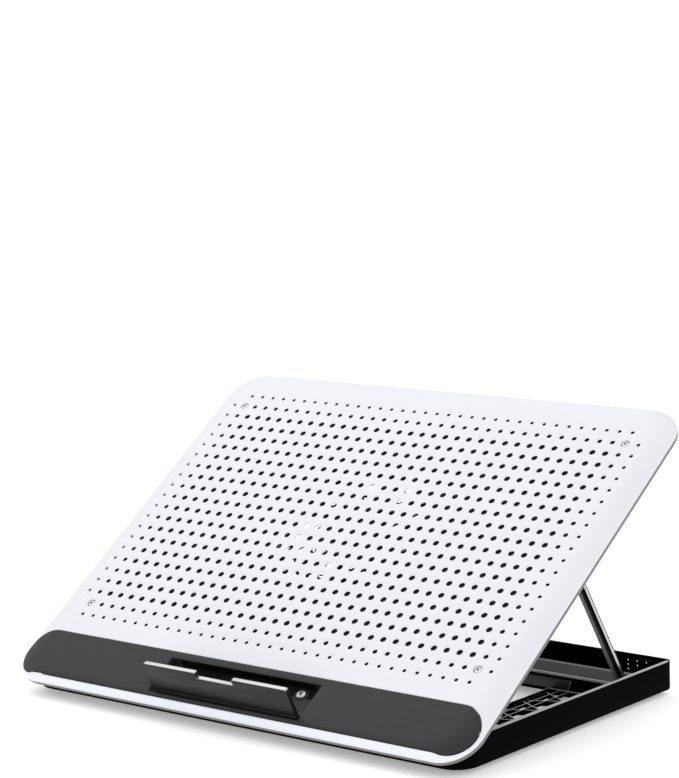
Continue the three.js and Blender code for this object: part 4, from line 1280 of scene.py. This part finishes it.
def make_ladder():
    """The ramped seat that holds the bail's foot, and the upright bar in front of it. The ramp is painted grey as
    lit, the crests carry painted highlights, and a thin grey sheet on the bar's front is a painted reflection.
    """
    top, front = TRAY_LOW.z + FLOOR_RISE, TRAY_LOW.y
    crest_z, half = top + SEAT_HEIGHT, TRAY_HIGH.x - WALL
    crest = front + SEAT_FOOT + SEAT_RUN
    seat = Shape()
    rear = crest + SEAT_CREST
    seat.prism(crest_outline(front + SEAT_FOOT, crest, rear, top - 0.1, crest_z), -half, half, "x")
    seat = raw_object("bail_seat", seat, ROW)
    # the ramp gets grey painted as lit, the band under the crest a painted highlight
    for face in seat.data.polygons:
        ramp = face.normal.y < -0.3 and face.center.z < (crest_z - 1.2) * MM
        edge = face.normal.y < -0.3 and not ramp
        face.material_index = 2 if ramp else 1 if edge else 0
    dress(seat, "base", ["tray_inside", "tray_painted_highlight", "tray_painted_light"])

    bar = Shape()
    y = front + BAR_FRONT
    outline = [(y, top - 0.1), (front + BAR_REAR, top - 0.1), (front + BAR_REAR, crest_z - 0.6)]
    outline += [(front + BAR_REAR - 0.6, crest_z), (y + BAR_BEAD, crest_z), (y, crest_z - BAR_BEAD)]
    bar.prism(outline, -half, half, "x")
    bar = raw_object("stop_bar", bar, ROW)
    # top faces of the bar get a painted highlight
    for face in bar.data.polygons:
        face.material_index = 1 if face.normal.z > 0.3 and face.normal.y < 0.3 else 0
    dress(bar, "base", ["tray_inside", "tray_painted_highlight"])

    # a thin grey sheet on the bar's front, leaning at its ends: a painted reflection
    plate = Shape()
    lean = 2.4
    outline = [(-BAR_REFLECTION_HALF, top), (BAR_REFLECTION_HALF, top)]
    outline += [(BAR_REFLECTION_HALF + lean, top + BAR_REFLECTION_HEIGHT)]
    outline += [(-BAR_REFLECTION_HALF - lean, top + BAR_REFLECTION_HEIGHT)]
    plate.prism(outline, y - BAR_REFLECTION_THICKNESS, y + 0.1, "y")
    plate = raw_object("stop_bar_painted_reflection", plate, ROW)
    bevel(plate, 0.25)
    # the end faces of the sheet get a painted highlight
    for face in plate.data.polygons:
        face.material_index = 1 if abs(face.normal.x) > 0.3 else 0
    dress(plate, "base", ["tray_painted_light", "tray_painted_highlight"])


def make_hinge_and_feet():
    hinge = Vector(JOINTS["panel_tilt"]["pos_m"]) / MM
    floor = TRAY_LOW.z + FLOOR_RISE
    radius, gap, width = 4.5, 0.4, 4
    for side, sign in (("left", -1), ("right", 1)):
        ears = Shape()
        for near, far in ((150.4 - gap - width, 150.4 - gap), (161.6 + gap, 161.6 + gap + width)):
            low, high = sorted((sign * near, sign * far))
            outline = arc(hinge.y, hinge.z, radius, 0, 180, 16)
            outline += [(hinge.y - radius, floor - 0.1), (hinge.y + radius, floor - 0.1)]
            ears.prism(outline, low, high, "x")
        piece_from(f"hinge_ears_{side}", ears, ROW, "base", ["tray_plastic"], edge=0.3)
        pin = Shape()
        low, high = 150.4 - width - 1, 161.6 + width + 1
        profile = [(1.2, low), (1.9, low + 0.5), (1.9, high - 0.2), (2.6, high - 0.2)]
        profile += [(2.6, high + 0.4), (1.6, high + 0.8)]
        pin.lathe([(r, sign * x) for r, x in profile], (0, hinge.y, hinge.z), "x", 32)
        piece_from(f"tilt_pin_{side}", pin, ROW, "base", ["bright_steel"], [f"hinge_pin_{side}"])

    profile = [(8.4, 0), (9, 0.5), (9, 2.4), (8.8, 2.7), (0.5, 2.7), (0.5, 0.25), (5.4, 0.25)]
    profile += [(5.8, 0.0)]
    for node in ("front_left", "front_right", "rear_left", "rear_right"):
        low, high = [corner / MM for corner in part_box(f"rubber_foot_{node}")]
        foot = Shape()
        centre = ((low.x + high.x) / 2, (low.y + high.y) / 2, 0)
        foot.lathe(profile, centre, segments=48, closed=True)
        piece_from(f"foot_pad_{node}", foot, ROW, "base", ["foot_rubber"], [f"rubber_foot_{node}"])


# ---------------------------------------------------------------- build

add_camera()
MATERIALS = make_materials()
add_stage()
make_sheet()
make_rim()
make_strip()
make_pocket()
make_stop()
make_screws()
make_bail()
make_brackets()
make_cover()
make_fan()
make_controls()
make_tray_wall()
make_tray_floor()
make_ladder()
make_hinge_and_feet()

for part in frame["record"]["subparts"]:
    node = frame["nodes"][part["node"]]
    if not node.hide_render:
        node.data.materials.clear()
        node.data.materials.append(MATERIALS[part["material_slot"]])
